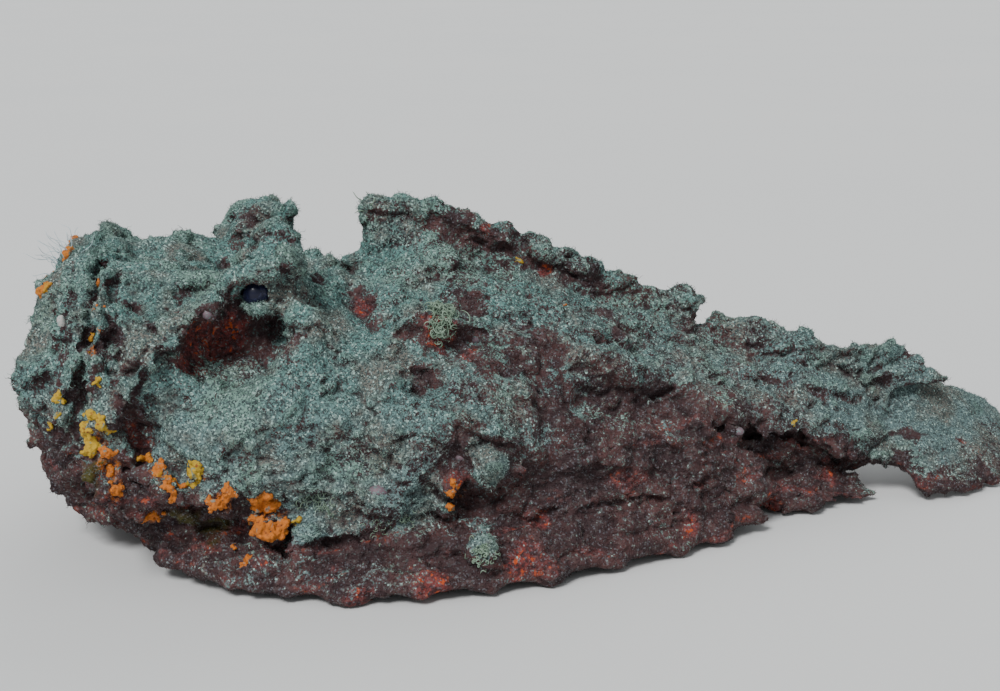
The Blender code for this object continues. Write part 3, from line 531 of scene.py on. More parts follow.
def carve(skin, sizes):
    """Lumps, mounds, ledges with leaning torn lips, and grooves."""
    surface = Surface(skin.data)
    points, normals = surface.points, surface.normals
    thick = fin_share(points)
    out = sizes.lump * layered(points, 0.018, 11) * (0.3 + 0.7 * thick) - sizes.sink * thick
    for pixel, size, height in MOUNDS:
        for centre in surface.both_sides(pixel):
            away = np.linalg.norm(points - np.array(centre), axis=1) / (size * PIXEL)
            out += height * eased(1.3 - away)
    moved = points.copy()
    waved = surface.waved
    ragged = np.clip(0.9 + 0.9 * layered(points, 0.0055, 31, 3), 0.3, 1.5)
    for height, reach, lean, pixels in LEDGES.values():
        for side, line in zip((1, -1), lines_of(surface, pixels)):
            share = np.exp(-((near_line(waved, line) / reach) ** 2)) * ragged * height
            moved += (share * (0.3 + 0.7 * thick))[:, None] * (0.7 * normals + 0.6 * leaning(lean, side))
    shade, height = under_ledges(surface)
    out -= 0.55 * shade * height * thick
    for depth, reach, pixels in GROOVES.values():
        for line in lines_of(surface, pixels):
            out -= depth * np.exp(-((near_line(waved, line) / reach) ** 2)) * thick
    out = np.minimum(out, MOST_LIFT * thick + 0.0008)
    out += 0.0026 * np.clip(layered(points, 0.016, 13), 0, 1) * (1 - thick)
    moved += normals * out[:, None]
    moved[:, 2] = np.maximum(moved[:, 2], FLOOR_GAP)
    store(skin.data, moved)


def groove_share(surface, light=1.0):
    """1 in a groove and 0 away from it. Light grooves, low in painted shade, count by the share that is
    given.
    """
    share = np.zeros(len(surface.points))
    for name, (_, reach, pixels) in GROOVES.items():
        most = light if name in FAINT_SHADE_GROOVES else 1.0
        for line in lines_of(surface, pixels):
            away = near_line(surface.waved, line) / reach / 1.2
            share = np.maximum(share, most * np.exp(-(away**2.5)))
    return share


def fin_share(points):
    """1 on the thick body and 0 on the thin fins that lie on the floor."""
    off = np.abs(points[:, 1] - midline(points[:, 0]))
    flat = eased((0.014 - points[:, 2]) / 0.010) * eased((off - 0.030) / 0.02)
    tail = eased((points[:, 0] - 0.115) / 0.02)
    return 1 - np.maximum(flat, tail)


def wrinkle(skin, sizes):
    """Folds along the flank, cushions of silt above them, ragged steps and grain."""
    surface = Surface(skin.data)
    points, normals = surface.points, surface.normals
    thick = 0.2 + 0.8 * fin_share(points)
    low = silt_line_share(surface)
    out = sizes.fold * (folds(points, 0.0080, 41) - 0.5) * (0.3 + 0.7 * low)
    out += 0.6 * sizes.fold * (folds(points, 0.0038, 51, 3.0) - 0.5) * (0.3 + 0.7 * low)
    out += sizes.cushion * (cushion_share(points) - 0.5) * (1 - 0.6 * low)
    out += sizes.grain * (lumps(points, 0.0030, 61) + 0.7 * lumps(points, 0.0017, 62))
    out += 1.6 * sizes.fold * (folds(points, 0.0045, 47, 6.0) - 0.4) * (1 - fin_share(points))
    steps = layered(points * np.array((0.6, 1, 1)), 0.012, 71, 3)
    edge = eased((steps - 0.05) / 0.10)
    out += sizes.step * (edge - 0.5)
    moved = points + normals * (out * thick)[:, None]
    moved += np.array((0.15, 0, -0.5)) * (sizes.step * edge * (1 - edge) * 2.6 * thick)[:, None]
    moved[:, 2] = np.maximum(moved[:, 2], FLOOR_GAP)
    store(skin.data, moved)


def cushion_share(points):
    """Cushions of two sizes, in patches."""
    patchy = eased(0.5 + 1.5 * layered(points, 0.03, 44, 2))
    return patchy * pads(points, 0.0085, 45) + (1 - patchy) * (0.6 + 0.4 * pads(points, 0.0045, 46))


def silt_line_share(surface):
    """0 above the line where the flank's silt ends, and 1 below it."""
    line = np.array([surface.seen(pixel)[:] for pixel in SILT_LINE])
    line = line[line[:, 0].argsort()]
    height = np.interp(surface.points[:, 0], line[:, 0], line[:, 2])
    uneven = 0.006 * layered(surface.points * np.array((0.5, 1, 1)), 0.014, 83)
    return eased((height + uneven - surface.points[:, 2]) / 0.024 + 0.5)


def marks_of(surface, hollow):
    """The skin's marks at each point: silt, crimson, gold and olive, each from 0 to 1."""
    points, normals = surface.points, surface.normals
    low = silt_line_share(surface)
    groove = groove_share(surface)
    side = eased((points[:, 0] + 0.08) / 0.04) * eased((0.12 - points[:, 0]) / 0.05)
    silt = 0.72 + 0.35 * normals[:, 2] + 0.26 * layered(points, 0.012, 81) - 0.80 * low - 0.38 * side
    # Silt thins in grooves; in hollows and under ledges it thins as painted shade, so that dark bare skin
    # shows there.
    silt -= 0.20 * hollow + 0.5 * groove + 0.10 * (1 - cushion_share(points)) + 0.7 * under_ledges(surface)[0]
    kinds = {"crimson": np.zeros(len(points)), "gold": np.zeros(len(points)), "olive": np.zeros(len(points))}
    bare = np.zeros(len(points))
    ragged = 1 + 0.6 * layered(points, 0.006, 91, 3)
    for kind, patches in PATCHES.items():
        spots = [(centre, size) for pixel, size in patches for centre in surface.both_sides(pixel)]
        for centre, size in spots:
            away = np.linalg.norm(points - np.array(centre), axis=1)
            share = eased(1.5 * ragged - away / (size * PIXEL))
            if kind == "silt":
                silt += 0.7 * share
                continue
            if kind in kinds:
                kinds[kind] = np.maximum(kinds[kind], share)
            bare = np.maximum(bare, share * BARENESS[kind])
    silt -= 0.8 * bare
    streaks = layered(points * np.array((0.35, 1, 1)), 0.006, 95)
    kinds["crimson"] = np.maximum(kinds["crimson"], 0.6 * low * eased(streaks * 2.2 - 0.5))
    return np.stack([np.clip(silt, 0, 1), kinds["crimson"], kinds["gold"], kinds["olive"]], axis=1)


def hollows(mesh):
    """How deep each point lies in a furrow, from 0 to 1, found by smoothing a copy of the mesh."""
    smooth = mesh.copy()
    softened(smooth, FURROW_ROUNDS)
    rough, soft = Surface(mesh), Surface(smooth)
    bpy.data.meshes.remove(smooth)
    depth = np.einsum("ij,ij->i", soft.points - rough.points, soft.normals)
    return np.clip(depth / FURROW_DEPTH, -1, 1)


def write_marks(mesh, marks, **others):
    """Keeps the marks on the mesh for its material, and other values by name."""
    colour = mesh.attributes.new("marks", "FLOAT_COLOR", "POINT")
    colour.data.foreach_set("color", marks.astype(np.float32).ravel())
    for name, values in others.items():
        value = mesh.attributes.new(name, "FLOAT", "POINT")
        value.data.foreach_set("value", values.astype(np.float32))


def unwrap(obj):
    """A map of the skin's own shape."""
    bpy.ops.object.select_all(action="DESELECT")
    obj.select_set(True)
    bpy.context.view_layer.objects.active = obj
    obj.data.uv_layers.new(name="OFBake")
    bpy.ops.object.mode_set(mode="EDIT")
    bpy.ops.mesh.select_all(action="SELECT")
    bpy.ops.uv.smart_project(angle_limit=1.15, island_margin=0.002, scale_to_bounds=True)
    bpy.ops.object.mode_set(mode="OBJECT")


class Nodes:
    """A material's nodes, made one after another."""

    def __init__(self, name):
        self.material = bpy.data.materials.new(name)
        self.material.use_nodes = True
        self.tree = self.material.node_tree
        self.shader = self.tree.nodes["Principled BSDF"]
        self.place = self.add("ShaderNodeTexCoord").outputs["Object"]

    def add(self, kind, settings=(), **sockets):
        node = self.tree.nodes.new(kind)
        for name, value in dict(settings).items():
            setattr(node, name, value)
        for name, value in sockets.items():
            self.set(node.inputs[name.replace("_", " ")], value)
        return node

    def set(self, socket, value):
        if isinstance(value, bpy.types.NodeSocket):
            self.tree.links.new(value, socket)
        else:
            socket.default_value = value

    def attribute(self, name):
        return self.add("ShaderNodeAttribute", {"attribute_name": name}).outputs["Fac"]

    def noise(self, size, detail=3.0):
        """Noise with lumps of this size in metres."""
        node = self.add("ShaderNodeTexNoise", Vector=self.place, Scale=1 / size, Detail=detail, Roughness=0.6)
        return node.outputs["Fac"]

    def cells(self, size, output="Color"):
        """Cells of this size in metres: a random colour for each, or the distance from its middle."""
        return self.add("ShaderNodeTexVoronoi", Vector=self.place, Scale=1 / size).outputs[output]

    def sums(self, operation, first, second, third=0.0):
        node = self.add("ShaderNodeMath", {"operation": operation})
        for socket, value in zip(node.inputs, (first, second, third)):
            self.set(socket, value)
        return node.outputs[0]

    def between(self, value, low, high):
        """0 below low, 1 above high, and smooth between them."""
        node = self.add("ShaderNodeMapRange", {"interpolation_type": "SMOOTHSTEP"}, Value=value)
        self.set(node.inputs["From Min"], low)
        self.set(node.inputs["From Max"], high)
        return node.outputs[0]

    def mix(self, share, first, second):
        """The first colour, or the second one where the share is 1."""
        node = self.add("ShaderNodeMix", {"data_type": "RGBA"})
        for socket, value in zip((node.inputs[0], node.inputs[6], node.inputs[7]), (share, first, second)):
            self.set(socket, value)
        return node.outputs[2]

    def bump(self, height, distance, strength, below=None):
        node = self.add("ShaderNodeBump", Height=height, Distance=distance, Strength=strength)
        if below is not None:
            self.set(node.inputs["Normal"], below)
        return node.outputs[0]


def fish_colour(nodes, colours, dark, light, scatter):
    """The colour that skin and coat share, from the marks. Dark and light say where silt has such grains.

    Scatter is random for each grain, so that silt and bare skin mix grain by grain.
    """
    marks = nodes.add("ShaderNodeAttribute", {"attribute_name": "marks"})
    parts = nodes.add("ShaderNodeSeparateColor", Color=marks.outputs["Color"])
    silt, crimson, gold = (parts.outputs[i] for i in range(3))
    olive = marks.outputs["Alpha"]
    patchy = nodes.noise(0.012, 4)
    fine = nodes.noise(0.0018, 3)
    skin = nodes.mix(nodes.between(patchy, 0.40, 0.62), colours.skin_dark_and_shade, colours.skin)
    skin = nodes.mix(nodes.sums("MULTIPLY", nodes.between(fine, 0.45, 0.7), 0.42), skin, colours.skin_pale)
    skin = nodes.mix(nodes.sums("MULTIPLY", crimson, nodes.between(fine, 0.35, 0.62)), skin, colours.crimson)
    ember = nodes.sums("MULTIPLY", crimson, nodes.between(nodes.noise(0.0030, 2), 0.59, 0.65))
    skin = nodes.mix(ember, skin, colours.ember)
    skin = nodes.mix(olive, skin, colours.olive)
    skin = nodes.mix(nodes.sums("MULTIPLY", gold, nodes.between(fine, 0.42, 0.6)), skin, colours.orange)
    height = nodes.add("ShaderNodeSeparateXYZ", Vector=nodes.place).outputs["Z"]
    # Silt turns from grey low down to teal high up: painted cool light from above.
    mud = nodes.mix(nodes.between(height, 0.03, 0.09), colours.silt_low, colours.silt)
    mud = nodes.mix(nodes.between(nodes.noise(0.018, 5), 0.44, 0.62), mud, colours.silt_brown)
    mud = nodes.mix(nodes.between(nodes.noise(0.028, 3), 0.50, 0.68), mud, colours.pale_silt_and_highlight)
    # Raised places turn paler: a painted highlight.
    proud = nodes.sums("SUBTRACT", 0.0, nodes.attribute("hollow"))
    mud = nodes.mix(nodes.sums("MULTIPLY", nodes.between(proud, 0.2, 1.0), 0.6), mud, colours.pale_silt_and_highlight)
    mud = nodes.mix(dark, mud, colours.silt_dark)
    mud = nodes.mix(light, mud, colours.silt_light)
    skin = nodes.mix(nodes.sums("MULTIPLY", light, 0.5), skin, colours.skin_grain)
    ragged = nodes.sums("MULTIPLY_ADD", fine, 1.5, -0.75)
    edge = nodes.sums("ADD", ragged, nodes.sums("MULTIPLY_ADD", patchy, 0.7, -0.35))
    edge = nodes.sums("ADD", edge, nodes.sums("MULTIPLY_ADD", scatter, 0.6, -0.3))
    cover = nodes.between(nodes.sums("ADD", silt, edge), 0.22, 0.56)
    colour = nodes.mix(cover, skin, mud)
    # Painted shade: hollows, dark grooves and places under ledges turn towards dark skin.
    shade = nodes.between(nodes.attribute("hollow"), 0.1, 1.0)
    return nodes.mix(nodes.sums("MULTIPLY", shade, 0.75), colour, colours.skin_dark_and_shade), cover


def skin_material(colours):
    nodes = Nodes("fish_skin")
    grains = nodes.add("ShaderNodeSeparateColor", Color=nodes.cells(0.00055))
    dark, light = nodes.between(grains.outputs[0], 0.40, 0.80), nodes.between(grains.outputs[1], 0.84, 0.94)
    colour, cover = fish_colour(nodes, colours, dark, light, grains.outputs[2])
    nodes.set(nodes.shader.inputs["Base Color"], colour)
    nodes.set(nodes.shader.inputs["Roughness"], nodes.sums("MULTIPLY_ADD", cover, 0.25, 0.68))
    nodes.shader.inputs["Specular IOR Level"].default_value = 0.2
    rough = nodes.bump(nodes.noise(0.0024, 4), 0.0014, 0.9)
    rough = nodes.bump(nodes.cells(0.0007, "Distance"), 0.0004, 0.7, rough)
    nodes.set(nodes.shader.inputs["Normal"], rough)
    return nodes.material


def coat_material(colours):
    nodes = Nodes("silt_and_algae")
    tone = nodes.attribute("tone")
    dark = nodes.sums("SUBTRACT", 1.0, nodes.between(tone, 0.22, 0.42))
    light = nodes.between(tone, 0.86, 0.93)
    scatter = nodes.sums("FRACT", nodes.sums("MULTIPLY", tone, 37.7), 0.0)
    colour, _ = fish_colour(nodes, colours, dark, light, scatter)
    colour = nodes.mix(nodes.sums("MULTIPLY", nodes.attribute("tip"), 0.10), colour, colours.silt_light)
    nodes.set(nodes.shader.inputs["Base Color"], colour)
    nodes.shader.inputs["Roughness"].default_value = 0.95
    nodes.shader.inputs["Specular IOR Level"].default_value = 0.1
    nodes.set(nodes.shader.inputs["Normal"], nodes.bump(nodes.noise(0.0006, 2), 0.0002, 0.6))
    return nodes.material


def strand_material(name, colour, tip_colour):
    """Filaments of weed or polyps."""
    nodes = Nodes(name)
    share = nodes.sums("MULTIPLY", nodes.attribute("tip"), nodes.between(nodes.noise(0.002, 3), 0.3, 0.6))
    nodes.set(nodes.shader.inputs["Base Color"], nodes.mix(share, colour, tip_colour))
    nodes.shader.inputs["Roughness"].default_value = 0.8
    nodes.shader.inputs["Specular IOR Level"].default_value = 0.2
    nodes.set(nodes.shader.inputs["Normal"], nodes.bump(nodes.noise(0.0005, 2), 0.0002, 0.5))
    return nodes.material


def sponge_material(colours):
    nodes = Nodes("sponge")
    uneven = nodes.sums("MULTIPLY_ADD", nodes.noise(0.004), 0.6, -0.3)
    yellow = nodes.between(nodes.sums("ADD", nodes.attribute("yellow"), uneven), 0.3, 0.7)
    colour = nodes.mix(yellow, colours.orange, colours.yellow)
    colour = nodes.mix(nodes.between(nodes.noise(0.0013, 4), 0.56, 0.70), colour, colours.sponge_dark)
    dusty = nodes.sums("MULTIPLY", nodes.between(nodes.noise(0.0028, 3), 0.60, 0.66), 0.7)
    colour = nodes.mix(dusty, colour, colours.silt)
    nodes.set(nodes.shader.inputs["Base Color"], colour)
    nodes.shader.inputs["Roughness"].default_value = 0.75
    pores = nodes.cells(0.0011, "Distance")
    rough = nodes.bump(nodes.noise(0.0016, 4), 0.0010, 0.8)
    nodes.set(nodes.shader.inputs["Normal"], nodes.bump(pores, 0.0005, 0.6, rough))
    return nodes.material


class Skin:
    """What the coat needs to know of the finished skin, for places picked at random on it."""

    def __init__(self, obj):
        mesh = obj.data
        self.surface = Surface(mesh)
        self.marks = columns(mesh.attributes["marks"].data, "color", 4)
        self.hollow = columns(mesh.attributes["hollow"].data, "value", 1)[:, 0]
        self.places = columns(mesh.uv_layers["OFBake"].uv, "vector", 2).reshape(-1, 4, 2)
        self.areas = columns(mesh.polygons, "area", 1)[:, 0]

    def around(self, pixel, count, spread, random):
        """Roots near what the photograph shows at a pixel, on both sides."""
        found = []
        for centre in self.surface.both_sides(pixel):
            for _ in range(count):
                near = centre + Vector(random.normal(size=3)) * spread
                spot, _, face, _ = self.surface.tree.find_nearest(near)
                corner = self.surface.faces[face]
                found.append((spot[:], self.surface.normals[corner[0]], self.marks[corner[0]],
                              self.hollow[corner[0]], self.places[face, 0]))
        return tuple(np.array(values) for values in zip(*found))

    def at_faces(self, values):
        """The mean of each face's corners."""
        return values[self.surface.faces].mean(axis=1)

    def picked(self, count, weight, random):
        """Roots at random: point, normal, marks, painted shade of the hollows and place on the map."""
        share = self.areas * np.maximum(weight, 0)
        face = random.choice(len(share), count, p=share / share.sum())
        u, v = random.random(count), random.random(count)
        weights = np.stack([(1 - u) * (1 - v), u * (1 - v), u * v, (1 - u) * v], axis=1)
        corners = self.surface.faces[face]

        def mean(values):
            return np.einsum("ij,ijk->ik", weights, values[corners])

        normal = mean(self.surface.normals)
        normal /= np.linalg.norm(normal, axis=1)[:, None]
        place = np.einsum("ij,ijk->ik", weights, self.places[face])
        hollow = mean(self.hollow[:, None])[:, 0]
        return mean(self.surface.points), normal, mean(self.marks), hollow, place


def blades(name, roots, way, length, width, random, sides=3, rings=1, curl=0.25):
    """Thin tapered closed blades, each from its root along its way, as one mesh with marks and a map."""
    point, _, marks, hollow, place = roots
    count = len(point)
    way = way / np.linalg.norm(way, axis=1)[:, None]
    aside = np.cross(way, random.normal(size=(count, 3)))
    aside /= np.linalg.norm(aside, axis=1)[:, None]
    third = np.cross(way, aside)
    bend, wave = random.normal(size=(2, count, 3)) * min(curl, 0.6)
    phase = random.random(count)[:, None] * 2 * math.pi

    def middle(height):
        turned = phase + 7 * height
        coil = (np.cos(turned) - np.cos(phase)) * aside + (np.sin(turned) - np.sin(phase)) * third
        bent = way * height + 0.5 * bend * height**2 + 0.2 * wave * height * (1 - height)
        return point + length[:, None] * (bent + 0.12 * curl * coil)

    per_blade = sides * rings + 1
    verts = np.empty((count, per_blade, 3))
    tips = np.empty((count, per_blade))
    for ring, side in itertools.product(range(rings), range(sides)):
        height, angle = ring / rings, 2 * math.pi * side / sides
        off = (math.cos(angle) * aside + math.sin(angle) * third) * (width * (1 - 0.5 * height))[:, None]
        verts[:, ring * sides + side] = middle(height) + off
        tips[:, ring * sides + side] = height
    verts[:, -1] = middle(1)
    tips[:, -1] = 1
    verts[..., 2] = np.maximum(verts[..., 2], LOWEST_BLADE)
    faces = []
    for ring, side in itertools.product(range(rings - 1), range(sides)):
        a, b = ring * sides + side, ring * sides + (side + 1) % sides
        faces += [(a, b, b + sides), (a, b + sides, a + sides)]
    top = (rings - 1) * sides
    faces += [(top + side, top + (side + 1) % sides, per_blade - 1) for side in range(sides)]
    faces += [(0, side + 1, side) for side in range(1, sides - 1)]
    triangles = (np.array(faces)[None] + per_blade * np.arange(count)[:, None, None]).reshape(-1, 3)
    around = np.linspace(0, 2 * math.pi, per_blade, endpoint=False)
    patch = BLADE_PATCH * np.stack([np.cos(around), np.sin(around)], axis=1)
    patch[-1] = 0
    mesh = mesh_of(name, verts.reshape(-1, 3), triangles)
    on_map = mesh.uv_layers.new(name="OFBake")
    corners = (place[:, None] + patch[None]).reshape(-1, 2)[triangles.ravel()]
    on_map.uv.foreach_set("vector", corners.astype(np.float32).ravel())
    tones = np.repeat(random.random(count), per_blade)
    write_marks(mesh, np.repeat(marks, per_blade, axis=0), hollow=np.repeat(hollow, per_blade),
                tip=tips.ravel(), tone=tones)
    return mesh


def mesh_of(name, points, triangles):
    """A mesh from arrays of points and triangles."""
    mesh = bpy.data.meshes.new(name)
    mesh.vertices.add(len(points))
    mesh.vertices.foreach_set("co", points.astype(np.float32).ravel())
    mesh.loops.add(triangles.size)
    mesh.loops.foreach_set("vertex_index", triangles.astype(np.int32).ravel())
    mesh.polygons.add(len(triangles))
    mesh.polygons.foreach_set("loop_start", np.arange(0, triangles.size, 3, dtype=np.int32))
    mesh.update(calc_edges=True)
    return mesh


def piece(name, mesh, material):
    """A new object of the fish, in its place."""
    obj = bpy.data.objects.new(name, mesh)
    bpy.context.scene.collection.objects.link(obj)
    mesh.materials.clear()
    mesh.materials.append(material)
    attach(obj, "root")
    return obj


def shaded_smooth(mesh):
    mesh.polygons.foreach_set("use_smooth", np.ones(len(mesh.polygons), bool))


def length_property(name, description, length):
    return FloatProperty(name=name, description=description, default=length, unit="LENGTH", precision=5)


def colour_property(name, description, colour):
    return FloatVectorProperty(name=name, description=description, default=(*colour, 1.0), size=4,
                               subtype="COLOR", min=0, max=1)


class StonefishSizes(bpy.types.PropertyGroup):
    """Sizes of the skin and its coat."""

    voxel: length_property("Voxel", "Size of the skin's squares", 0.0009)
    sink: length_property("Sink", "How far the skin lies inside the solids", 0.0006)
    lump: length_property("Lumps", "Height of the lumps", 0.0018)
    fold: length_property("Folds", "Height of the folds", 0.0018)
    cushion: length_property("Cushions", "Height of the cushions of silt", 0.0009)
    step: length_property("Steps", "Height of the ragged steps", 0.0019)
    grain: length_property("Grain", "Height of the grain", 0.00055)
    fuzz: IntProperty(name="Fuzz", description="How many short blades each coat piece has", default=44000)
    fringe: IntProperty(name="Fringe", description="How many long blades the fringe has", default=9500)


class StonefishColours(bpy.types.PropertyGroup):
    """Colours of the skin, coat, sponges and eyes."""

    skin: colour_property("Skin", "Bare skin", (0.078, 0.036, 0.035))
    # Dark skin in patches, and also the colour of the painted shade in hollows and under ledges.
    skin_dark_and_shade: colour_property("Dark skin", "Bare skin in hollows", (0.036, 0.020, 0.022))
    skin_pale: colour_property("Pale skin", "Brown-grey growth on bare skin", (0.125, 0.096, 0.092))
    skin_grain: colour_property("Skin grains", "Light grains on bare skin", (0.16, 0.17, 0.19))
    crimson: colour_property("Crimson", "Red skin in hollows and folds", (0.200, 0.042, 0.038))
    ember: colour_property("Ember", "Orange-red spots on crimson skin", (0.45, 0.075, 0.02))
    olive: colour_property("Olive", "Smooth skin under the cheek", (0.055, 0.048, 0.010))
    # Silt high on the fish is teal and low silt greyer: painted cool light from above.
    silt: colour_property("Silt", "Silt high on the fish", (0.115, 0.235, 0.218))
    silt_low: colour_property("Low silt", "Silt low on the fish", (0.145, 0.215, 0.215))
    # Pale growth in patches, and also the colour of the painted highlight on raised places.
    pale_silt_and_highlight: colour_property("Pale silt", "Pale green growth", (0.190, 0.305, 0.255))
    silt_brown: colour_property("Brown silt", "Silt with brown algae", (0.160, 0.155, 0.135))
    silt_dark: colour_property("Dark grains", "Dark grains of silt", (0.058, 0.082, 0.082))
    silt_light: colour_property("Light grains", "Light grains of silt", (0.34, 0.46, 0.42))
    growth: colour_property("Growth", "Mauve growths", (0.150, 0.100, 0.120))
    growth_pale: colour_property("Pale growth", "Pale growths", (0.40, 0.38, 0.36))
    weed: colour_property("Weed", "Curled green filaments", (0.150, 0.220, 0.155))
    weed_tip: colour_property("Weed tips", "Tips of the green filaments", (0.30, 0.39, 0.31))
    polyp: colour_property("Polyps", "Pale filaments on the jaw", (0.35, 0.48, 0.52))
    polyp_tip: colour_property("Polyp tips", "Tips of the pale filaments", (0.62, 0.72, 0.75))
    orange: colour_property("Orange", "Orange sponge", (0.50, 0.140, 0.010))
    yellow: colour_property("Yellow", "Yellow sponge", (0.46, 0.29, 0.015))
    sponge_dark: colour_property("Dark sponge", "Sponge in its folds", (0.24, 0.060, 0.010))
    iris: colour_property("Iris", "Ring of the eye", (0.024, 0.027, 0.068))
    pupil: colour_property("Pupil", "Middle of the eye", (0.006, 0.007, 0.022))


class STONEFISH_OT_skin(bpy.types.Operator):
    """One skin over every node of flesh"""

    bl_idname = "stonefish.skin"
    bl_label = "Skin"

    def execute(self, context):
        sizes, colours = context.scene.stonefish_sizes, context.scene.stonefish_colours
        skin = flesh_shell(sizes.voxel)
        carve(skin, sizes)
        remeshed(skin, sizes.voxel)
        keep_biggest(skin.data)
        unwrap(skin)
        wrinkle(skin, sizes)
        surface = Surface(skin.data)
        # Painted shade: the depth of furrows, with the shade of dark grooves and of places under ledges put
        # into it.
        shade = np.maximum(0.7 * groove_share(surface, light=0.1), 0.3 * under_ledges(surface)[0])
        hollow = hollows(skin.data)
        hollow = np.where(shade > 0.1, np.maximum(hollow, shade), hollow)
        marks = marks_of(surface, np.maximum(hollow, 0))
        # Crimson skin gets little painted shade in its hollows, so it stays red.
        write_marks(skin.data, marks, hollow=hollow * (1 - 0.8 * marks[:, 1]))
        shaded_smooth(skin.data)
        skin.data.materials.clear()
        skin.data.materials.append(skin_material(colours))
        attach(skin, "root")
        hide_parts(*FLESH)
        return {"FINISHED"}


class STONEFISH_OT_coat(bpy.types.Operator):
    """Short fuzz and crumbs of silt all over, and a longer fringe on lips and ledges"""

    bl_idname = "stonefish.coat"
    bl_label = "Coat"

    def execute(self, context):
        sizes, colours = context.scene.stonefish_sizes, context.scene.stonefish_colours
        skin = Skin(bpy.data.objects["skin"])
        material = coat_material(colours)
        centre = skin.at_faces(skin.surface.points)
        silt = skin.at_faces(skin.marks[:, :1])[:, 0]
        proud = np.clip(-skin.at_faces(skin.hollow[:, None])[:, 0], 0, 1)
        groove = skin.at_faces(groove_share(skin.surface)[:, None])[:, 0]
        open_skin = (centre[:, 2] > COAT_START) * (1 - 0.85 * groove)
        cover = (0.6 + silt + 0.5 * proud) * open_skin
        for seed, (name, low, high) in enumerate(COAT_BANDS):
            random = np.random.default_rng(COAT_SEED + seed)
            here = (centre[:, 0] >= low) & (centre[:, 0] < high)
            roots = skin.picked(sizes.fuzz, cover * here, random)
            crumb = random.random(len(roots[0])) < CRUMB_SHARE
            shaggy = np.clip(layered(roots[0], 0.009, 7), 0, 1)
            hair = 0.0006 + 0.0006 * random.random(len(crumb)) + 0.0009 * shaggy
            long = np.where(crumb, CRUMB_LENGTH, hair)
            wide = np.where(crumb, CRUMB_WIDTH, HAIR_WIDTH) * (0.7 + 0.6 * random.random(len(crumb)))
            way = 0.8 * roots[1] + 0.9 * random.normal(size=roots[1].shape) + np.array((0.3, 0, 0))
            piece("fuzz_" + name, blades("fuzz_" + name, roots, way, long, wide, random), material)
        random = np.random.default_rng(FRINGE_SEED)
        high_enough = eased((centre[:, 2] - 0.006) / 0.006)
        roots = skin.picked(sizes.fringe, (0.01 + proud**3) * open_skin * (0.4 + silt) * high_enough, random)
        long = 0.0009 + 0.0013 * random.random(len(roots[0])) ** 2
        way = roots[1] + 0.8 * random.normal(size=roots[1].shape) + np.array((0.0, 0, -0.2))
        wide = np.full(len(long), HAIR_WIDTH)
        mesh = blades("fringe", roots, way, long, wide, random, rings=3, curl=1.6)
        piece("fringe", mesh, material)
        return {"FINISHED"}


class STONEFISH_OT_strands(bpy.types.Operator):
    """Curled weed and pale polyps, in tufts"""

    bl_idname = "stonefish.strands"
    bl_label = "Strands"

    def execute(self, context):
        colours = context.scene.stonefish_colours
        skin = Skin(bpy.data.objects["skin"])
        for kind, tip in (("weed", "weed_tip"), ("polyp", "polyp_tip")):
            material = strand_material(kind, getattr(colours, kind), getattr(colours, tip))
            for number, (pixel, count, length, width, curl, name) in enumerate(STRANDS):
                if name != kind:
                    continue
                random = np.random.default_rng(STRAND_SEED + number)
                roots = skin.around(pixel, count, 0.0016 + 0.12 * length * min(curl, 1), random)
                long = length * (0.6 + 0.5 * random.random(len(roots[0])))
                way = roots[1] + 0.35 * curl * random.normal(size=roots[1].shape) + np.array((0, 0, 0.25))
                wide = np.full(len(long), width)
                title = f"{kind}_{number}"
                piece(title, blades(title, roots, way, long, wide, random, 4, 9, curl), material)
        return {"FINISHED"}


class STONEFISH_OT_sponges(bpy.types.Operator):
    """Orange and yellow sponges along the jaw and cheek"""

    bl_idname = "stonefish.sponges"
    bl_label = "Sponges"

    def execute(self, context):
        surface = Surface(bpy.data.objects["skin"].data)
        random = np.random.default_rng(SPONGE_SEED)
        bm = bmesh.new()
        yellow = bm.verts.layers.float.new("yellow")
        for pixel, wide, high, share in SPONGES:
            least = min(wide, high)
            for centre in surface.both_sides(pixel):
                for _ in range(4 + wide // 2):
                    shift = Vector(random.normal(size=3)) * PIXEL * SPONGE_SPREAD
                    shift = Vector((shift.x * wide, shift.y * least, shift.z * high))
                    spot = surface.tree.find_nearest(centre + shift)[0]
                    radius = PIXEL * least * random.uniform(*SPONGE_SHARES)
                    for vert in bmesh.ops.create_icosphere(bm, subdivisions=2, radius=radius)["verts"]:
                        vert.co = spot + vert.co
                        vert[yellow] = share
        mesh = bpy.data.meshes.new("sponges")
        bm.to_mesh(mesh)
        bm.free()
        lumpy = bpy.data.objects.new("sponges", mesh)
        context.scene.collection.objects.link(lumpy)
        old = KDTree(len(mesh.vertices))
        for vert in mesh.vertices:
            old.insert(vert.co, vert.index)
        old.balance()
        share = columns(mesh.attributes["yellow"].data, "value", 1)[:, 0]
        remeshed(lumpy, SPONGE_VOXEL)
        softened(lumpy.data, SPONGE_ROUNDS)
        cover = Surface(lumpy.data)
        rough = 0.0007 * layered(cover.points, 0.0026, 17, 3)
        rough += 0.0008 * (pads(cover.points, 0.0022, 18) - 0.6)
        moved = cover.points + cover.normals * rough[:, None]
        moved[:, 2] = np.maximum(moved[:, 2], 0.0002)
        store(lumpy.data, moved)
        shares = lumpy.data.attributes.new("yellow", "FLOAT", "POINT")
        nearest = [old.find(point)[1] for point in moved]
        shares.data.foreach_set("value", share[nearest])
        shaded_smooth(lumpy.data)
        lumpy.data.materials.clear()
        lumpy.data.materials.append(sponge_material(context.scene.stonefish_colours))
        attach(lumpy, "root")
        return {"FINISHED"}


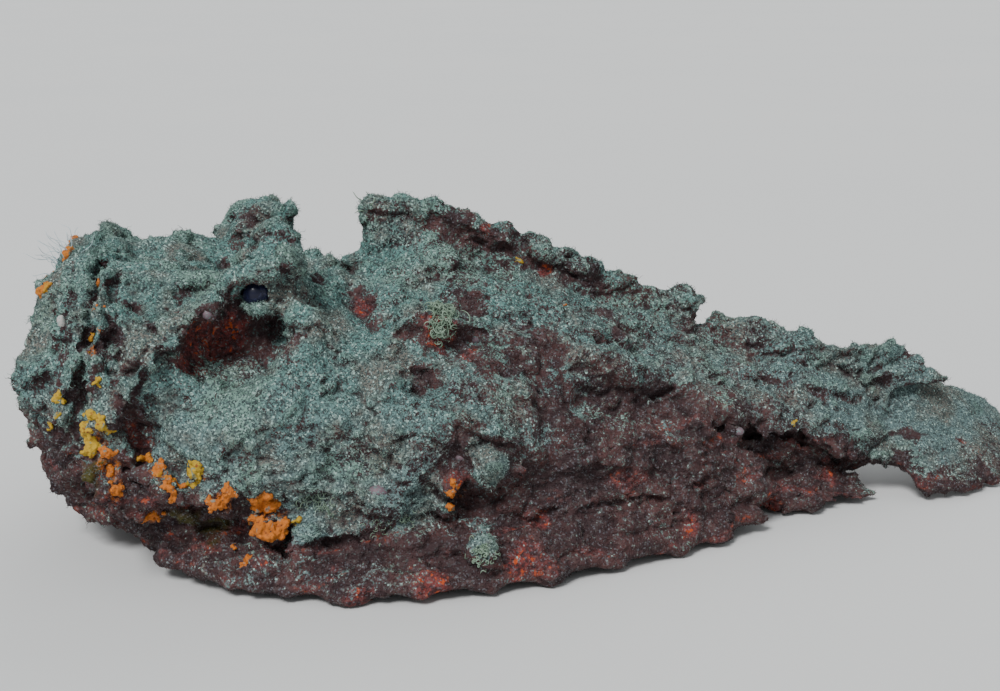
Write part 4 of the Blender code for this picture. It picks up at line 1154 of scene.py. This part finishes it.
class STONEFISH_OT_growths(bpy.types.Operator):
    """Small smooth round growths on the head and side"""

    bl_idname = "stonefish.growths"
    bl_label = "Growths"

    def execute(self, context):
        surface = Surface(bpy.data.objects["skin"].data)
        for kind in ("growth", "growth_pale"):
            bm = bmesh.new()
            for pixel, wide, high, name in GROWTHS:
                if name != kind:
                    continue
                for centre in surface.both_sides(pixel):
                    made = bmesh.ops.create_icosphere(bm, subdivisions=3, radius=PIXEL)["verts"]
                    rough = lumps(np.array([vert.co[:] for vert in made]), 0.4 * PIXEL, 19)
                    least = min(wide, high)
                    sunk = centre - surface.tree.find_nearest(centre)[1] * (0.4 * least * PIXEL)
                    for vert, lift in zip(made, rough):
                        vert.co *= 1 + 0.10 * lift
                        vert.co = sunk + Vector((vert.co.x * wide, vert.co.y * least, vert.co.z * high))
            mesh = bpy.data.meshes.new(kind)
            bm.to_mesh(mesh)
            bm.free()
            shaded_smooth(mesh)
            nodes = Nodes(kind)
            colour = getattr(context.scene.stonefish_colours, kind)
            silt = context.scene.stonefish_colours.silt
            pale = nodes.mix(nodes.between(nodes.noise(0.0009, 3), 0.5, 0.7), colour, silt)
            nodes.set(nodes.shader.inputs["Base Color"], pale)
            nodes.shader.inputs["Roughness"].default_value = 0.6
            nodes.set(nodes.shader.inputs["Normal"], nodes.bump(nodes.noise(0.0008, 3), 0.0003, 0.6))
            piece(kind, mesh, nodes.material)
        return {"FINISHED"}


class STONEFISH_OT_eyes(bpy.types.Operator):
    """Dark blue glossy eyes, each with a pupil and a ring"""

    bl_idname = "stonefish.eyes"
    bl_label = "Eyes"

    def execute(self, context):
        colours = context.scene.stonefish_colours
        for name in EYES:
            low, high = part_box(name)
            centre, radius = (low + high) / 2, (high.z - low.z) / 2
            side = -1 if centre.y < 0 else 1
            gaze = Vector((GAZE[0], GAZE[1] * side, GAZE[2])).normalized()
            bm = bmesh.new()
            bmesh.ops.create_uvsphere(bm, u_segments=48, v_segments=32, radius=radius)
            front_share = bm.verts.layers.float.new("front")
            for vert in bm.verts:
                front = vert.co.z / radius
                vert[front_share] = front
                vert.co.z += EYE_BULGE * radius * float(eased((front - 0.6) / 0.4))
            turn = gaze.to_track_quat("Z", "Y")
            for vert in bm.verts:
                vert.co = centre + turn @ vert.co
            mesh = bpy.data.meshes.new(name + "_ball")
            bm.to_mesh(mesh)
            bm.free()
            shaded_smooth(mesh)
            ball = piece(name + "_ball", mesh, eye_material(colours))
            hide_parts(name)
        return {"FINISHED"}


def eye_material(colours):
    """Pupil and flecked ring, by how far round the front of the eye a point lies. Both eyes share it."""
    if "fish_eye" in bpy.data.materials:
        return bpy.data.materials["fish_eye"]
    nodes = Nodes("fish_eye")
    uneven = nodes.sums("MULTIPLY_ADD", nodes.noise(0.0012), 0.06, -0.03)
    front = nodes.sums("ADD", nodes.attribute("front"), uneven)
    flecks = nodes.mix(nodes.between(nodes.noise(0.0006, 3), 0.4, 0.65), colours.pupil, colours.iris)
    colour = nodes.mix(nodes.between(front, *PUPIL_EDGE), flecks, colours.pupil)
    nodes.set(nodes.shader.inputs["Base Color"], colour)
    nodes.shader.inputs["Roughness"].default_value = 0.35
    nodes.shader.inputs["Specular IOR Level"].default_value = 0.25
    nodes.shader.inputs["Coat Weight"].default_value = 0.12
    nodes.shader.inputs["Coat Roughness"].default_value = 0.06
    return nodes.material


class STONEFISH_OT_stage(bpy.types.Operator):
    """Pale floor, soft studio light and the camera"""

    bl_idname = "stonefish.stage"
    bl_label = "Stage"

    def execute(self, context):
        scene = context.scene
        bm = bmesh.new()
        bmesh.ops.create_grid(bm, x_segments=8, y_segments=8, size=FLOOR_SIZE)
        mesh = bpy.data.meshes.new("floor")
        bm.to_mesh(mesh)
        bm.free()
        floor = bpy.data.objects.new("floor", mesh)
        floor.location.z = -FLOOR_DROP
        scene.collection.objects.link(floor)
        nodes = Nodes("pale_floor")
        nodes.set(nodes.shader.inputs["Base Color"], nodes.mix(nodes.noise(0.4, 2), *FLOOR_COLOURS))
        nodes.shader.inputs["Roughness"].default_value = 0.9
        mesh.materials.append(nodes.material)
        world = bpy.data.worlds.new("studio")
        world.use_nodes = True
        world.node_tree.nodes["Background"].inputs["Color"].default_value = WORLD_COLOUR
        world.node_tree.nodes["Background"].inputs["Strength"].default_value = WORLD_STRENGTH
        scene.world = world
        for name, place, spread, power in SUNS:
            light = bpy.data.lights.new(name, "SUN")
            light.angle, light.energy = math.radians(spread), power
            lamp = bpy.data.objects.new(name, light)
            lamp.location = place
            lamp.rotation_euler = (-Vector(place)).to_track_quat("-Z", "Y").to_euler()
            scene.collection.objects.link(lamp)
        camera = bpy.data.cameras.new("camera")
        camera.lens, camera.sensor_width = LENS_MM, SENSOR_MM
        camera.clip_start = 0.01
        view = bpy.data.objects.new("camera", camera)
        place, _, _, forward = camera_axes()
        view.location = place
        view.rotation_euler = forward.to_track_quat("-Z", "Y").to_euler()
        scene.collection.objects.link(view)
        scene.camera = view
        return {"FINISHED"}


class STONEFISH_PT_panel(bpy.types.Panel):
    """Every piece of the stonefish, in the order that they are made"""

    bl_label = "Stonefish"
    bl_idname = "STONEFISH_PT_panel"
    bl_space_type = "VIEW_3D"
    bl_region_type = "UI"
    bl_category = "Stonefish"

    def draw(self, context):
        for group in (context.scene.stonefish_sizes, context.scene.stonefish_colours):
            for name in group.__annotations__:
                self.layout.prop(group, name)
        for operator in PIECES:
            self.layout.operator(operator.bl_idname)


PIECES = (STONEFISH_OT_skin, STONEFISH_OT_coat, STONEFISH_OT_strands, STONEFISH_OT_sponges,
          STONEFISH_OT_growths, STONEFISH_OT_eyes, STONEFISH_OT_stage)
CLASSES = (StonefishSizes, StonefishColours, *PIECES, STONEFISH_PT_panel)


def register():
    for item in CLASSES:
        bpy.utils.register_class(item)
    bpy.types.Scene.stonefish_sizes = PointerProperty(type=StonefishSizes)
    bpy.types.Scene.stonefish_colours = PointerProperty(type=StonefishColours)


def unregister():
    del bpy.types.Scene.stonefish_sizes
    del bpy.types.Scene.stonefish_colours
    for item in reversed(CLASSES):
        bpy.utils.unregister_class(item)


def main():
    register()
    bpy.ops.stonefish.skin()
    bpy.ops.stonefish.coat()
    bpy.ops.stonefish.strands()
    bpy.ops.stonefish.sponges()
    bpy.ops.stonefish.growths()
    bpy.ops.stonefish.eyes()
    bpy.ops.stonefish.stage()


if __name__ == "__main__":
    main()
